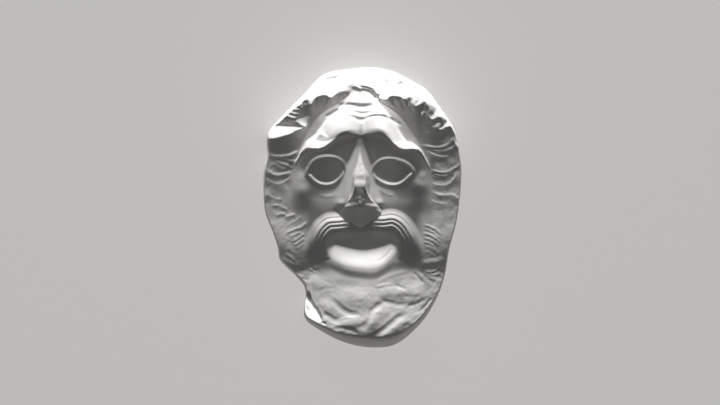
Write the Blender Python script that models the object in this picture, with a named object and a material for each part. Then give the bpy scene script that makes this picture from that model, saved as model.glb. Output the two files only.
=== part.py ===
"""Greek theatre mask in marble: a bearded old man with raised brows, staring eyes and a gaping mouth.

The mask lies on its back. X runs to the right across the face, Y up the face and Z out of it, and the
flat rim at the back lies in the plane Z = 0. The sizes below are in millimetres.
"""

import math

import bmesh
import bpy
import numpy as np
from mathutils import Matrix, Vector

MM = 0.001

# The blank: how many cells the starting cube has along each edge, and how many triangles are kept.
CELLS = 96
TRIANGLES_KEPT = 9600
FRONT_SHARE = 0.447

# The broken outline of the mask, anticlockwise from the top of the head.
OUTLINE = (
    (12, 140.5), (-12, 139), (-32, 136), (-44, 129.5), (-60, 112), (-80, 92), (-95, 74), (-95.5, 55),
    (-99, 34), (-98, -2), (-90, -25), (-85, -40), (-82, -54), (-66, -70), (-57, -84), (-58, -110),
    (-44, -123), (-17, -136.5), (12, -141.5), (36, -137), (60, -116), (75, -92), (83, -70), (88, -42),
    (96, -10), (100, 32), (98.5, 55), (93, 78), (81, 97), (66, 117), (52, 126), (34, 135.5),
)

# How high the middle of the face stands above the rim plane, from the head down to the beard.
PROFILE = (
    (150, 51), (130, 53.4), (118, 55), (108, 56.8), (98, 58.4), (88, 59.6), (78, 60.2), (66, 60.5),
    (45, 60.8), (28, 60.3), (0, 60), (-40, 58.6), (-54, 57.4), (-63, 57.2), (-72, 58.3),
    (-85, 60.7), (-100, 63.4), (-115, 66), (-126, 66.8), (-145, 63),
)
SIDE_FALL = 17.0
SIDE_REACH = 80.0
SIDE_POWER = 2.2

# The wall of the shell, by direction in degrees: its height over the rim if it ran on to the middle.
WALL_HEIGHT = (
    (-180, 230), (-150, 230), (-120, 230), (-105, 215), (-90, 180), (-75, 190), (-60, 220),
    (-35, 240), (-15, 240), (0, 235), (25, 240), (42, 240), (50, 205), (58, 165), (68, 131),
    (90, 128), (104, 132), (113, 170), (120, 215), (136, 220), (145, 200), (155, 215), (180, 230),
)
WALL_ROUNDING = 8.0
RIM_RINGS = 3
RIM_SHARE = 0.885
HOLLOW_DEPTH = 45.0
HOLLOW_POWER = 2.7
MOUTH_WALL = 14.0

# The valley where the hair springs from the brow, and the crest that the hair rises to.
HAIRLINE = (
    (0, 117), (-13, 112.5), (-27, 106), (-39, 98.5), (-53, 81), (-63, 57), (-70.5, 30), (-69, -8),
    (-61, -45), (-45, -62), (-15, -73), (20, -75), (50, -66), (62, -50), (70, -8), (69, 25),
    (63, 51), (52.5, 72), (40, 92), (22, 105.5), (12, 112),
)
HAIR_CREST = (
    (-9, 124.5), (-15, 122), (-17, 117), (-22, 116), (-27, 112), (-31, 109), (-34, 111),
    (-38, 112.5), (-44, 110.8), (-48, 107.5), (-51, 102.5), (-53, 106.5), (-57, 108), (-61, 107),
    (-62, 102), (-68, 100.8), (-66, 97), (-74, 95), (-67, 91.3), (-76, 91), (-67, 86.5),
    (-62, 82.5), (-57, 80), (-60, 78), (-66, 76), (-70, 73.5), (-80, 70.5), (-88, 68.8),
    (-97, 68.5), (-103, 64), (-103, 30), (-100, 0), (-92, -25), (-62, -80), (-30, -105), (20, -110),
    (66, -85), (90, -35), (100, 15), (101, 50), (92, 66), (92, 79.5), (84, 80), (79, 77.5),
    (76, 79.5), (80, 83), (80, 88), (77, 90), (70, 87.5), (66.5, 91), (67, 97), (65.5, 102),
    (63, 105.5), (59, 104), (54, 100.5), (52.5, 103), (54, 109.5), (51, 111.5), (46, 110.5),
    (42, 108), (39, 110), (33, 111.5), (27, 110), (25, 107), (19, 107), (15, 113), (12, 117),
    (7, 120), (0, 122.5),
)
HAIR_LIFT = (
    (140, 0), (124, 0.5), (118, 3.5), (112, 8.5), (104, 11), (90, 9.5), (80, 8.5), (60, 7),
    (30, 5.5), (0, 4), (-30, 3), (-60, 0), (-140, 0),
)
HAIR_SAG = 0.25

# Beyond its crest the hair falls away outward, this steeply and this far, on the upper half only.
BEVEL = 0.8
BEVEL_REACH = 14.0
BEVEL_FROM = (50, 66)

# The forehead and the long, pitched brows.
FOREHEAD = (
    (4, 116.5), (-6, 117), (-14, 115), (-18, 107), (-21, 102.5), (-26.5, 96), (-33, 90.5),
    (-38.5, 85.5), (-43, 80), (-47.5, 75), (-51, 71), (-56, 68.5), (-60, 61), (-64, 51), (-68, 38),
    (0, 30), (68, 34), (63, 51), (59, 60), (50, 66), (45, 67), (41.5, 72.5), (38, 79), (33.5, 85.5),
    (28.5, 91.5), (24, 97.5), (18.5, 103), (13, 107.5), (9, 113),
)
BROW_EDGE = (
    (-70, 38), (-62.5, 52), (-60, 56.5), (-56, 59), (-50, 58.8), (-43, 58.8), (-38, 60),
    (-32, 63.5), (-26, 67), (-20, 70.5), (-12, 72), (0, 71), (8, 72.3), (15, 72), (22, 70.5),
    (27, 67.5), (32, 62.5), (36, 59.5), (41, 58), (50, 58.5), (57, 58.3), (60, 54.5), (63, 49),
    (70, 34),
)

# The line above which the forehead starts to fall back from the brow.
BROW_CREST = (
    (-70, 62), (-56, 72), (-48, 74.5), (-40, 74), (-34, 72), (-28, 72), (-20, 75.5), (-8, 75.5),
    (0, 75), (8, 76), (15, 76), (24, 72.5), (30, 67), (36, 64), (44, 63.5), (60, 62), (70, 60),
)
BROW_ROUNDING = 1.6
BROW_HEIGHT = (
    (0, 17.5), (6, 19), (12, 21.5), (18, 22.5), (28, 21.5), (36, 19.5), (46, 16), (55, 11), (61, 5),
    (69, 0), (80, 0),
)
BROW_POWER = 1.25
FOREHEAD_TOP = 119.0
TEMPLE_HEIGHT = 0.5

# The outer end of each brow is a leaf that falls away more steeply, up to its own top line.
LEAF_DROP = (
    (-66, 0), (-61, 3.6), (-55, 6), (-46, 6), (-36, 4.4), (-27, 0), (0, 0), (31, 0), (38, 3.4),
    (46, 4.6), (54, 3.6), (60, 0.7), (66, 0),
)
LEAF_TOP = (
    (-66, 52), (-60, 62), (-54, 68), (-50, 69.5), (-45, 68.2), (-40, 66.8), (-34, 67.5), (-26, 72),
    (0, 78), (28, 74), (36, 66.5), (45, 66.5), (50, 65.5), (57, 61.5), (62, 55), (66, 50),
)
LEAF_RUN_ON = 0.1
LEAF_FARTHEST = 2.6

# The edge of the forehead: a faint rise, a small step and a long round shoulder. The first two have a
# share of the height each and a span across the edge, and the shoulder takes the rest.
EDGE_RISE = 0.1
EDGE_RISE_SPAN = (-9.0, 3.0)
EDGE_STEP = 0.25
EDGE_STEP_SPAN = (-1.0, 3.5)
SHOULDER = 15.0
BROW_END_SPAN = (0.0, 3.0)
BROW_END_TOP = (6.0, -2.0)

# Under the brow the surface drops at once by this share, and then eases back over this reach.
UNDER_STEP = 0.3
UNDER_STEP_SPAN = (-1.5, 4.5)
UNDER_REACH = 50.0
UNDER_POWER = 1.7
WRINKLES = (
    (((-26, 101), (-15, 102), (-7, 100.8), (0, 99.6), (8, 100.6), (16, 102.5)), 4.2, -2.0),
    (((-32, 92.5), (-25, 95.5), (-15, 96.3), (0, 93), (15, 95.5), (24, 95)), 2.8, -0.8),
    (((-38, 84), (-22, 89.8), (-8, 89), (-2, 86.8), (10, 89.8), (20, 90), (36, 83.4)), 2.8, -1.2),
)

# Each eye: its opening, and the level of its corners, where the upper lid passes into the lower.
LEFT_OPENING = (
    (-54.5, 33.5), (-52, 31), (-48, 27.3), (-43, 24.3), (-37, 23), (-31, 23.6), (-26, 25.8),
    (-21, 30), (-17.5, 35), (-18, 40.5), (-21, 45.5), (-27, 48.6), (-34, 49.5), (-42, 48.5),
    (-48.5, 45), (-52.5, 39),
)
RIGHT_OPENING = (
    (10.5, 33), (14, 28.8), (20, 25.4), (27, 23.2), (34, 23), (40, 25), (45.5, 29.2), (50.5, 34.5),
    (48, 39.3), (43, 43.3), (36, 46), (28, 47.3), (20, 46.3), (14.5, 42.5), (11, 37),
)
EYES = ((LEFT_OPENING, 35.5), (RIGHT_OPENING, 33.5))
CORNER_BLEND = 2.5
LID_WIDTH = 3.6
UPPER_LID_HEIGHT = 1.9
UPPER_LID_EDGE = 1.2
LOWER_LID_HEIGHT = 1.35
LOWER_LID_CLIMB = 3.6

# The nose, by height: its ridge, half the width of its flat top and how far its sides reach.
NOSE_RIDGE = (
    (80, 77), (74, 76), (70, 76.2), (66, 76.1), (60, 75.95), (57, 76.1), (54, 76.4), (51, 77.3),
    (48, 78.3), (38, 81.4), (30, 83.9), (23.4, 85.9), (21, 85.7), (15, 85.7), (8, 85.5), (3, 85.1),
    (0, 84.2), (-3, 82), (-6, 78.5), (-10, 73.5), (-14, 68.5), (-18, 64), (-24, 55),
)
NOSE_FLAT = (
    (80, 0), (60, 0), (53.5, 0.3), (51.5, 0.9), (46.5, 2.1), (38.5, 4.2), (29, 6.2), (22.8, 6.5),
    (20, 6.7), (15, 8.9), (10, 11.2), (7, 13.5), (5, 15.8), (2, 18.8), (-1, 20.8), (-5, 21.5),
    (-8, 19.6), (-12, 14.5), (-15, 10), (-18, 4.5), (-22, 1),
)
NOSE_REACH = (
    (80, 9), (66, 9), (58, 8.5), (48, 8), (36, 7.5), (26, 7.5), (20, 6), (14, 3.2), (8, 2.2),
    (2, 2), (-3, 2.2), (-10, 4), (-20, 5),
)
NOSE_SPAN = (-24, 82)
NOSE_MIDDLE = -1.6
NOSE_SIDE_POWER = 1.5
NOSE_CROWN = 0.02
NOSE_CROWN_FROM = (22, 8)
NOSE_ROOT = (60, 50)
NOSTRIL_WINGS = ((-20.5, 1.5), (16, 2.8))
NOSTRIL_SIZE = (4.5, 3.7)
NOSTRIL_HEIGHT = 1.0

# The mouth, between its roof line and its lower lip. It is deepest part of the way up, and it closes
# towards its corners, where its span is small.
MOUTH_ROOF = (
    (-44, -36), (-38, -35), (-34, -31), (-26, -27), (-12, -25), (0, -25.5), (12, -24), (23, -25.5),
    (30, -28), (35, -31), (38, -33), (44, -34),
)
LOWER_LIP = (
    (-44, -36), (-38, -41), (-35, -45), (-31, -49.5), (-27, -52.5), (-22, -55), (-15, -56.6),
    (-7, -57.4), (0, -58.6), (7, -59.8), (14, -59.4), (20, -57), (26, -52.5), (30.5, -47.5),
    (34, -41.5), (36.5, -36), (44, -34),
)
MOUTH_DEPTH = 9.5
MOUTH_SPAN = 35.0
MOUTH_CORNER_POWER = 2.0
MOUTH_DEEPEST = 0.5
MOUTH_LOWER_POWER = 3.0
MOUTH_ROOF_POWER = 1.3
MOUTH_EDGE = (-0.1, 0.22)
LIP_HEIGHT = 1.9
LIP_RISE = (-3, 4)
LIP_FLAT = 3.0
LIP_REACH = 15.0
LIP_HALF_WIDTH = (34, 12)

# The two sides of the moustache, with the hand on which the mouth lies, and the basin between them.
MOUSTACHE_LEFT = (
    (-13, -5.5), (-24, -6.8), (-35, -8), (-42, -12), (-48, -18.5), (-52.5, -27), (-55.5, -36),
    (-57, -47), (-56, -58), (-51, -68),
)
MOUSTACHE_RIGHT = (
    (9, -4.5), (20, -5.2), (27, -4.2), (34, -4.8), (41.5, -8.5), (47.5, -14), (52, -20.5),
    (56.5, -29), (59.5, -39), (60, -50), (57, -61), (50, -71),
)
MOUSTACHE = ((MOUSTACHE_LEFT, 1), (MOUSTACHE_RIGHT, -1))
MOUSTACHE_START = 0.12
MOUSTACHE_END = 0.45
MOUSTACHE_HEIGHT = 3.1
MOUSTACHE_OUTER = (-2.5, 5.0)
MOUSTACHE_INNER = (22, 1.5)
BASIN = (
    (0, -2), (-24, -6.8), (-35, -8), (-42, -12), (-48, -18.5), (-52.5, -27), (-55.5, -36),
    (-57, -50), (-58, -70), (-58, -100), (0, -110), (60, -100), (61, -70), (60, -50), (59.5, -39),
    (56.5, -29), (52, -20.5), (47.5, -14), (41.5, -8.5), (34, -4.8), (20, -5.2),
)
BASIN_FOOT = (
    (-66, -54), (-57, -55), (-48, -58), (-38, -60), (-28, -60.5), (-18, -62), (-6, -63), (6, -63.5),
    (18, -62), (28, -60), (38, -58), (48, -56), (57, -54), (66, -52),
)
BASIN_DEPTH = 3.6
BASIN_EDGE = (-2.0, 24.0)
BASIN_SIDES = (22.0, 42.0)
BASIN_SLOPE = (22.0, 34.0)
BASIN_SIDE_SHARE = 0.62

# Soft swellings: the cheekbones and the cheeks, as middle, spread and height.
CHEEKS = (
    ((-59, 12), (10, 18), 1.9),
    ((-60, 29), (5, 6), 0.7),
    ((58, 16), (8, 17), 1.4),
    ((50, 9), (9, 14), 0.8),
    ((-32, 0), (19, 15), 1.2),
    ((29, 2), (18, 16), 1.3),
)

# Locks of hair that overlap like tiles: the edge, its height, the width of its step and of its slope.
LOCKS = (
    (((-98, 70), (-93, 68.5), (-86, 69), (-78, 71), (-71, 73), (-65, 75.5), (-56, 79.5)), 3.0, 11, 16),
    (((-81, 89.5), (-73, 85.5), (-63, 83.5)), 3.0, 2.2, 4.2),
    (((-96, 56), (-89, 51), (-80, 50), (-71, 51.5), (-62, 57)), 0.6, 2.6, 6),
    (((-92, 50), (-86, 45.5), (-78, 42.5), (-71, 40)), 0.5, 2.6, 6),
    (((-98, 40), (-93, 34.5), (-86, 31.5), (-79, 32.5), (-70, 34.5)), 0.6, 2.6, 7),
    (((-98, 29), (-91, 24), (-84, 22.5), (-77, 25), (-69, 31.5)), 0.4, 2.6, 7),
    (((-98, 17), (-94, 11.5), (-87, 8), (-79, 7)), 0.4, 2.8, 8),
    (((66, 77.5), (73, 74.5), (80, 77), (86, 81), (92, 82.5)), 0.6, 2.6, 6),
    (((58, 61.5), (66, 60), (76, 59), (84, 61), (92, 67), (97, 68)), 0.8, 2.6, 6),
    (((62, 58.5), (70, 52.8), (79, 49.8), (89, 50.5)), 0.5, 2.6, 6),
    (((68, 38), (76, 34.5), (85, 34.5), (93, 38.5), (100, 43.5)), 0.7, 2.6, 5),
    (((68, 24.5), (76, 21.5), (85, 22), (92, 27.5), (97, 38)), 0.5, 2.6, 6),
    (((67, 17), (74, 12.8), (82, 11.2), (90, 11.8), (96, 8), (99, 1)), 0.6, 2.6, 7),
    (((-93, 0), (-87, 1.5), (-80, -0.5), (-73, -4)), 0.4, 2.6, 5),
    (((-80, -29), (-74, -25.5), (-67, -22.5), (-60, -20), (-54, -14)), 0.5, 2.6, 5),
    (((-70, -35), (-64, -31.5), (-57, -26)), 0.4, 2.4, 4),
    (((-86, -50), (-80, -53), (-72, -57), (-62, -60)), 0.5, 5, 8),
    (((60, -17.5), (67, -19.5), (74, -23), (80, -29)), 0.5, 2.4, 4),
    (((59, -26), (65, -27), (72, -30), (79, -37)), 0.5, 2.4, 4),
    (((60, -35), (66, -36), (72, -39)), 0.4, 2.4, 4),
    (((58, -58.5), (64, -57.5), (70, -56.5), (77, -55), (84, -51)), 0.8, 5, 4),
)

# Beard: broad mounds (middle, half sizes, height, turn), then ridges and furrows (line, width, height).
BEARD_MOUNDS = (
    ((-6, -92), (28, 14), 0.9, 0),
    ((-33, -100), (14, 9), 0.8, -30),
    ((-12, -116), (17, 8), 1.1, 15),
    ((50, -86), (20, 14), 1.0, -20),
    ((-45, -76), (12, 9), 0.6, 0),
    ((30, -86), (18, 9), 0.7, 0),
)
BEARD_RIDGES = (
    (((27, -98), (18, -106), (9, -114), (-1, -122)), 9.5, 0.8),
    (((54, -111), (44, -114), (35, -120), (25, -128), (14, -134.5)), 7.5, 1.0),
    (((-29, -91), (-25, -97), (-18, -103.5), (-9, -107), (0, -107)), 4.5, -0.6),
    (((-40, -105.5), (-33, -109.5), (-27, -113), (-20, -112)), 4.5, -0.7),
    (((23, -92), (17, -98), (10, -104), (8, -110.5), (3, -118), (-4, -121)), 4.2, -0.8),
    (((46, -106.5), (37, -110), (29, -116.5), (21, -123), (11, -128.5), (2, -131)), 4.8, -1.0),
)

# The break at the lower left: a flat face that looks up the mask.
BREAK = (
    (-60, -86), (-65, -106), (-52, -117), (-41, -113), (-44.5, -103), (-48.5, -98), (-54, -88.5),
)
BREAK_LEVEL = 51.5
BREAK_SLOPE = 0.62
BREAK_MIDDLE = -100.0


def ease(low, high, value):
    """0 below low, 1 above high, with a smooth climb between."""
    share = np.clip((value - low) / (high - low), 0.0, 1.0)
    return share * share * (3.0 - 2.0 * share)


def soft_max(first, second, rounding):
    """The higher of two surfaces, with the join rounded."""
    share = np.clip(0.5 + 0.5 * (first - second) / rounding, 0.0, 1.0)
    return second + (first - second) * share + rounding * share * (1.0 - share)


def soft_min(first, second, rounding):
    """The lower of two surfaces, with the join rounded."""
    return -soft_max(-first, -second, rounding)


def curve_through(points, closed=False, steps=7):
    """A smooth curve through the points, as a chain of short straight steps."""
    given = np.asarray(points, float)
    if closed:
        given = np.vstack([given[-1], given, given[:2]])
    else:
        given = np.vstack([2 * given[0] - given[1], given, 2 * given[-1] - given[-2]])
    t = np.linspace(0.0, 1.0, steps, endpoint=False)[:, None]
    runs = []
    for a, b, c, d in zip(given, given[1:], given[2:], given[3:]):
        square = (2 * a - 5 * b + 4 * c - d) * t**2
        cube = (3 * b - 3 * c + d - a) * t**3
        runs.append(0.5 * (2 * b + (c - a) * t + square + cube))
    runs.append(given[-2][None])
    return np.vstack(runs)


def table(value, pairs):
    """Reads a smooth curve through the pairs at each value."""
    path = curve_through(sorted(pairs))
    return np.interp(value, path[:, 0], path[:, 1])


def nearest(path, x, y):
    """Distance to the path, positive on its left, and how far along it the nearest point lies."""
    steps = np.diff(path, axis=0)
    lengths = np.hypot(steps[:, 0], steps[:, 1])
    run = np.concatenate([[0.0], np.cumsum(lengths)])
    best = np.full(x.shape, np.inf)
    side = np.ones(x.shape)
    along = np.zeros(x.shape)
    for index, (step_x, step_y) in enumerate(steps):
        from_x = x - path[index, 0]
        from_y = y - path[index, 1]
        t = np.clip((from_x * step_x + from_y * step_y) / (lengths[index] ** 2 + 1e-12), 0.0, 1.0)
        off_x = from_x - t * step_x
        off_y = from_y - t * step_y
        square = off_x**2 + off_y**2
        nearer = square < best
        best = np.where(nearer, square, best)
        along = np.where(nearer, (run[index] + t * lengths[index]) / run[-1], along)
        side = np.where(nearer, np.where(step_x * off_y - step_y * off_x < 0, -1.0, 1.0), side)
    return np.sqrt(best) * side, along


def inside(points, x, y):
    """Distance to a closed curve that runs anticlockwise, positive inside it."""
    return nearest(curve_through(points, closed=True), x, y)[0]


def close_to(path, x, y, reach):
    """The points within reach of the box round a path."""
    low = path.min(axis=0) - reach
    high = path.max(axis=0) + reach
    return (x > low[0]) & (x < high[0]) & (y > low[1]) & (y < high[1])


def mound(x, y, middle, size, turn=0.0):
    """1 at the middle of an ellipse, 0 from its edge out."""
    cos = math.cos(math.radians(turn))
    sin = math.sin(math.radians(turn))
    across = ((x - middle[0]) * cos + (y - middle[1]) * sin) / size[0]
    up = ((y - middle[1]) * cos - (x - middle[0]) * sin) / size[1]
    return np.clip(1.0 - across**2 - up**2, 0.0, 1.0) ** 2


def swell(x, y, middle, size):
    """A soft bump that dies away without an edge."""
    return np.exp(-(((x - middle[0]) / size[0]) ** 2) - ((y - middle[1]) / size[1]) ** 2)


def add_ridge(x, y, z, points, width, height):
    """Raises a rounded ridge along a curve, or sinks a furrow where the height is negative."""
    path = curve_through(points)
    zone = close_to(path, x, y, width)
    away, along = nearest(path, x[zone], y[zone])
    ends = ease(0.0, 0.25, along) * ease(0.0, 0.25, 1.0 - along)
    z[zone] += height * np.clip(1.0 - (away / width) ** 2, 0.0, 1.0) ** 2 * ends


def outline_radius(angle):
    """The distance from the middle to the broken outline, in each direction."""
    path = curve_through(OUTLINE, closed=True, steps=10)[:-1]
    angles = np.arctan2(path[:, 1], path[:, 0])
    order = np.argsort(angles)
    return np.interp(angle, angles[order], np.hypot(path[:, 0], path[:, 1])[order], period=2 * math.pi)


def level_of(points, x):
    """How far up the face a line from left to right runs, at each place across it."""
    path = curve_through(points)
    return np.interp(x, path[:, 0], path[:, 1])


def raise_hair(x, y, z):
    """The bank of hair, from its valley up to its crest, and the fall beyond the crest."""
    out = np.clip(-inside(HAIRLINE, x, y), 0.0, None)
    to_crest = inside(HAIR_CREST, x, y)
    climbed = out / (out + np.clip(to_crest, 0.0, None) + 1e-6)
    z += table(y, HAIR_LIFT) * climbed * (1.0 - HAIR_SAG * (1.0 - climbed))
    z -= BEVEL * np.clip(-to_crest, 0.0, BEVEL_REACH) * ease(*BEVEL_FROM, y)


def carve_brows(x, y, z):
    """The forehead, climbing to the brow edge, and the hollow below it."""
    edge = level_of(BROW_EDGE, x)
    over = y - edge
    height = table(np.abs(x), BROW_HEIGHT)
    past_crest = BROW_ROUNDING * np.logaddexp(0.0, (y - level_of(BROW_CREST, x)) / BROW_ROUNDING)
    climb = np.clip(1.0 - past_crest / np.maximum(FOREHEAD_TOP - edge, 5.0), 0.0, 1.0) ** BROW_POWER
    depth = inside(FOREHEAD, x, y)
    on_brow = EDGE_RISE * ease(*EDGE_RISE_SPAN, depth) + EDGE_STEP * ease(*EDGE_STEP_SPAN, depth)
    shoulder = np.sin(np.clip(depth / SHOULDER, 0.0, 1.0) * math.pi / 2.0)
    on_brow += (1.0 - EDGE_RISE - EDGE_STEP) * shoulder
    near_crest = ease(*BROW_END_TOP, y - level_of(BROW_CREST, x))
    on_brow = np.maximum(on_brow, ease(*BROW_END_SPAN, depth) * near_crest)
    up_leaf = np.clip(over / np.maximum(level_of(LEAF_TOP, x) - edge, 3.0), 0.0, LEAF_FARTHEST)
    leaf = np.minimum(up_leaf, 1.0) + LEAF_RUN_ON * np.clip(up_leaf - 1.0, 0.0, None)
    leaf *= table(x, LEAF_DROP)
    dome = (TEMPLE_HEIGHT + (height - TEMPLE_HEIGHT) * climb - leaf) * on_brow
    drop = np.clip(-over, 0.0, None)
    slack = np.clip(1.0 - drop / UNDER_REACH, 0.0, 1.0) ** UNDER_POWER
    under = UNDER_STEP * ease(*UNDER_STEP_SPAN, drop) + (1.0 - UNDER_STEP) * (1.0 - slack)
    z += np.where(over > 0, dome, height * (1.0 - under))
    for points, width, depth in WRINKLES:
        add_ridge(x, y, z, points, width, depth)


def carve_eyes(x, y, z):
    """The staring balls inside the raised bands of their lids."""
    for opening, corner_level in EYES:
        zone = close_to(curve_through(opening, closed=True), x, y, LID_WIDTH)
        depth = inside(opening, x[zone], y[zone])
        band = np.clip(1.0 + np.minimum(depth, 0.0) / LID_WIDTH, 0.0, 1.0)
        upper = UPPER_LID_HEIGHT * band * ease(UPPER_LID_EDGE, 0.0, depth)
        lower = LOWER_LID_HEIGHT * band * ease(LOWER_LID_CLIMB, 0.0, depth)
        z[zone] += lower + (upper - lower) * ease(-CORNER_BLEND, CORNER_BLEND, y[zone] - corner_level)


def carve_nose(x, y, z):
    """The nose with its round root, its worn flat ridge, the break under it and the nostril wings."""
    ridge = table(y, NOSE_RIDGE)
    beyond = np.clip(np.abs(x - NOSE_MIDDLE) - table(y, NOSE_FLAT), 0.0, None)
    out = np.clip(beyond / table(y, NOSE_REACH), 0.0, 1.0)
    ridge -= NOSE_CROWN * (x - NOSE_MIDDLE) ** 2 * ease(*NOSE_CROWN_FROM, y)
    keen = (1.0 - out) ** NOSE_SIDE_POWER
    root = ease(1.0, 0.0, out)
    share = root + (keen - root) * ease(*NOSE_ROOT, y)
    zone = (y > NOSE_SPAN[0]) & (y < NOSE_SPAN[1]) & (ridge > z)
    z += np.where(zone, (ridge - z) * share, 0.0)
    for middle in NOSTRIL_WINGS:
        z += NOSTRIL_HEIGHT * swell(x, y, middle, NOSTRIL_SIZE)


def carve_moustache(x, y, z):
    """The basin that the mouth lies in, and the rolled crest of the moustache round it."""
    zone = close_to(curve_through(BASIN, closed=True), x, y, -BASIN_EDGE[0])
    part_x = x[zone]
    to_side = ease(*BASIN_SIDES, np.abs(part_x))
    over = y[zone] - level_of(BASIN_FOOT, part_x)
    slope = BASIN_SLOPE[1] + (BASIN_SLOPE[0] - BASIN_SLOPE[1]) * to_side
    sunk = BASIN_DEPTH * ease(*BASIN_EDGE, inside(BASIN, part_x, y[zone])) * ease(-1.0, slope, over)
    z[zone] -= sunk * (1.0 - (1.0 - BASIN_SIDE_SHARE) * to_side)
    for points, hand in MOUSTACHE:
        path = curve_through(points)
        zone = close_to(path, x, y, MOUSTACHE_INNER[0])
        away, along = nearest(path, x[zone], y[zone])
        inward = away * hand
        ends = ease(0.0, MOUSTACHE_START, along) * ease(1.0, MOUSTACHE_END, along)
        roll = ease(*MOUSTACHE_OUTER, inward) * ease(*MOUSTACHE_INNER, inward)
        z[zone] += MOUSTACHE_HEIGHT * roll * ends


def carve_mouth(x, y, z):
    """The gaping mouth, a bowl that climbs steeply to the soft lower lip, and the lip itself."""
    lip = level_of(LOWER_LIP, x)
    span = np.maximum(level_of(MOUTH_ROOF, x) - lip, 0.5)
    up = (y - lip) / span
    floor = 1.0 - np.clip(1.0 - up / MOUTH_DEEPEST, 0.0, 1.0) ** MOUTH_LOWER_POWER
    roof = 1.0 - np.clip((up - MOUTH_DEEPEST) / (1.0 - MOUTH_DEEPEST), 0.0, 1.0) ** MOUTH_ROOF_POWER
    corners = np.clip(span / MOUTH_SPAN, 0.0, 1.0) ** MOUTH_CORNER_POWER
    z -= MOUTH_DEPTH * floor * roof * ease(*MOUTH_EDGE, up) * corners
    below = lip - y
    fall = np.clip(1.0 - np.clip(below - LIP_FLAT, 0.0, None) / LIP_REACH, 0.0, 1.0)
    z += LIP_HEIGHT * ease(*LIP_RISE, below) * fall * ease(*LIP_HALF_WIDTH, np.abs(x))


def carve_locks(x, y, z):
    """Locks that overlap like tiles: a quick step up along each edge, then a slow slope down."""
    relief = np.zeros_like(z)
    for points, height, step, slope in LOCKS:
        path = curve_through(points)
        zone = close_to(path, x, y, max(step, slope))
        away, along = nearest(path, x[zone], y[zone])
        down = np.clip(1.0 - np.clip(-away, 0.0, None) / slope, 0.0, 1.0) ** 1.3
        shape = np.where(away > 0, ease(step, 0.0, away), down)
        body = height * shape * ease(0.0, 0.25, along) * ease(0.0, 0.15, 1.0 - along)
        relief[zone] = (relief[zone] ** 5 + body**5) ** 0.2
    z += relief


def carve_beard(x, y, z):
    """The broad locks of the beard."""
    for middle, size, height, turn in BEARD_MOUNDS:
        z += height * mound(x, y, middle, size, turn)
    for points, width, height in BEARD_RIDGES:
        add_ridge(x, y, z, points, width, height)


def front_height(x, y, share):
    """Height of the carved front over the rim plane. Each point lies a share of the way to the outline."""
    z = table(y, PROFILE) - SIDE_FALL * (np.abs(x) / SIDE_REACH) ** SIDE_POWER
    raise_hair(x, y, z)
    for middle, size, height in CHEEKS:
        z += height * swell(x, y, middle, size)
    carve_brows(x, y, z)
    carve_eyes(x, y, z)
    carve_nose(x, y, z)
    carve_moustache(x, y, z)
    carve_mouth(x, y, z)
    carve_locks(x, y, z)
    carve_beard(x, y, z)
    wall = table(np.degrees(np.arctan2(y, x)), WALL_HEIGHT) * np.sqrt(np.clip(1.0 - share**2, 0.0, 1.0))
    z = soft_min(z, wall, WALL_ROUNDING)
    plane = BREAK_LEVEL - BREAK_SLOPE * (y - BREAK_MIDDLE)
    broken = ease(-1.5, 1.5, inside(BREAK, x, y))
    z = z * (1.0 - broken) + np.minimum(z, plane) * broken
    return np.where(share > 0.99999, 0.0, np.clip(z, 0.0, None))


def even_shares(height, start):
    """Shares of the way out to the outline that are evenly spaced over a nominal dome, start to rim."""
    share = 1.0 - np.linspace(1.0, 0.0, 4001) ** 2 * (1.0 - start)
    rise = np.minimum(height * 2.6 * np.sqrt(1.0 - share**2), height)
    run = np.concatenate([[0.0], np.cumsum(np.hypot(np.diff(share) * 115.0, np.diff(rise)))])
    return run / run[-1], share


def round_from_square(across, up):
    """Turns points of a square into a direction and a share of the way out, evenly spread."""
    reach = np.maximum(np.abs(across), np.abs(up))
    safe = np.where(reach < 1e-9, 1.0, reach)
    wide = np.abs(across) >= np.abs(up)
    quarter = math.pi / 4.0
    flat = np.where(wide, quarter * up / safe * np.sign(np.where(across == 0, 1.0, across)), 0.0)
    steep = quarter * across / safe * np.sign(np.where(up == 0, 1.0, up))
    angle_wide = np.where(across >= 0, flat, math.pi + flat)
    angle_steep = np.where(up >= 0, math.pi / 2.0 - steep, -math.pi / 2.0 - steep)
    return np.where(wide, angle_wide, angle_steep), reach


def hollow_height(x, y, share):
    """Height of the hollow behind the face over the rim plane."""
    within = np.clip(share / RIM_SHARE, 0.0, 1.0)
    dome = HOLLOW_DEPTH * (1.0 - within**HOLLOW_POWER) ** (1.0 / 2.2)
    return dome - MOUTH_WALL * mound(x, y, (0, -42), (62, 44)) * (1.0 - within**4)


def shape_blank(points):
    """Moves the corners of a subdivided cube, 2 along each edge, onto the mask."""
    x, y, z = points.T
    front = z > 1.0 - 1e-6
    back = z < -1.0 + 1e-6
    angle, reach = round_from_square(x, y)
    run, spread = even_shares(60.0, FRONT_SHARE)
    down = np.clip((1.0 - z) / 2.0, 0.0, 1.0)
    share = np.interp(down, run, spread)
    share[front] = reach[front] * FRONT_SHARE
    ring = 2.0 * RIM_RINGS / CELLS
    in_rim = reach > 1.0 - ring - 1e-6
    hollow = RIM_SHARE * np.sin(reach / (1.0 - ring) * math.pi / 2.0) ** 0.8
    rim = 1.0 - (1.0 - reach) / ring * (1.0 - RIM_SHARE)
    back_share = np.where(in_rim, rim, np.minimum(hollow, RIM_SHARE))
    share[back] = back_share[back]
    radius = outline_radius(angle) * share
    out_x = radius * np.cos(angle)
    out_y = radius * np.sin(angle)
    out_z = np.empty_like(out_x)
    face = ~back
    out_z[face] = front_height(out_x[face], out_y[face], share[face])
    out_z[back] = np.where(in_rim[back], 0.0, hollow_height(out_x[back], out_y[back], share[back]))
    return np.stack([out_x, out_y, out_z], axis=1)


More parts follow.
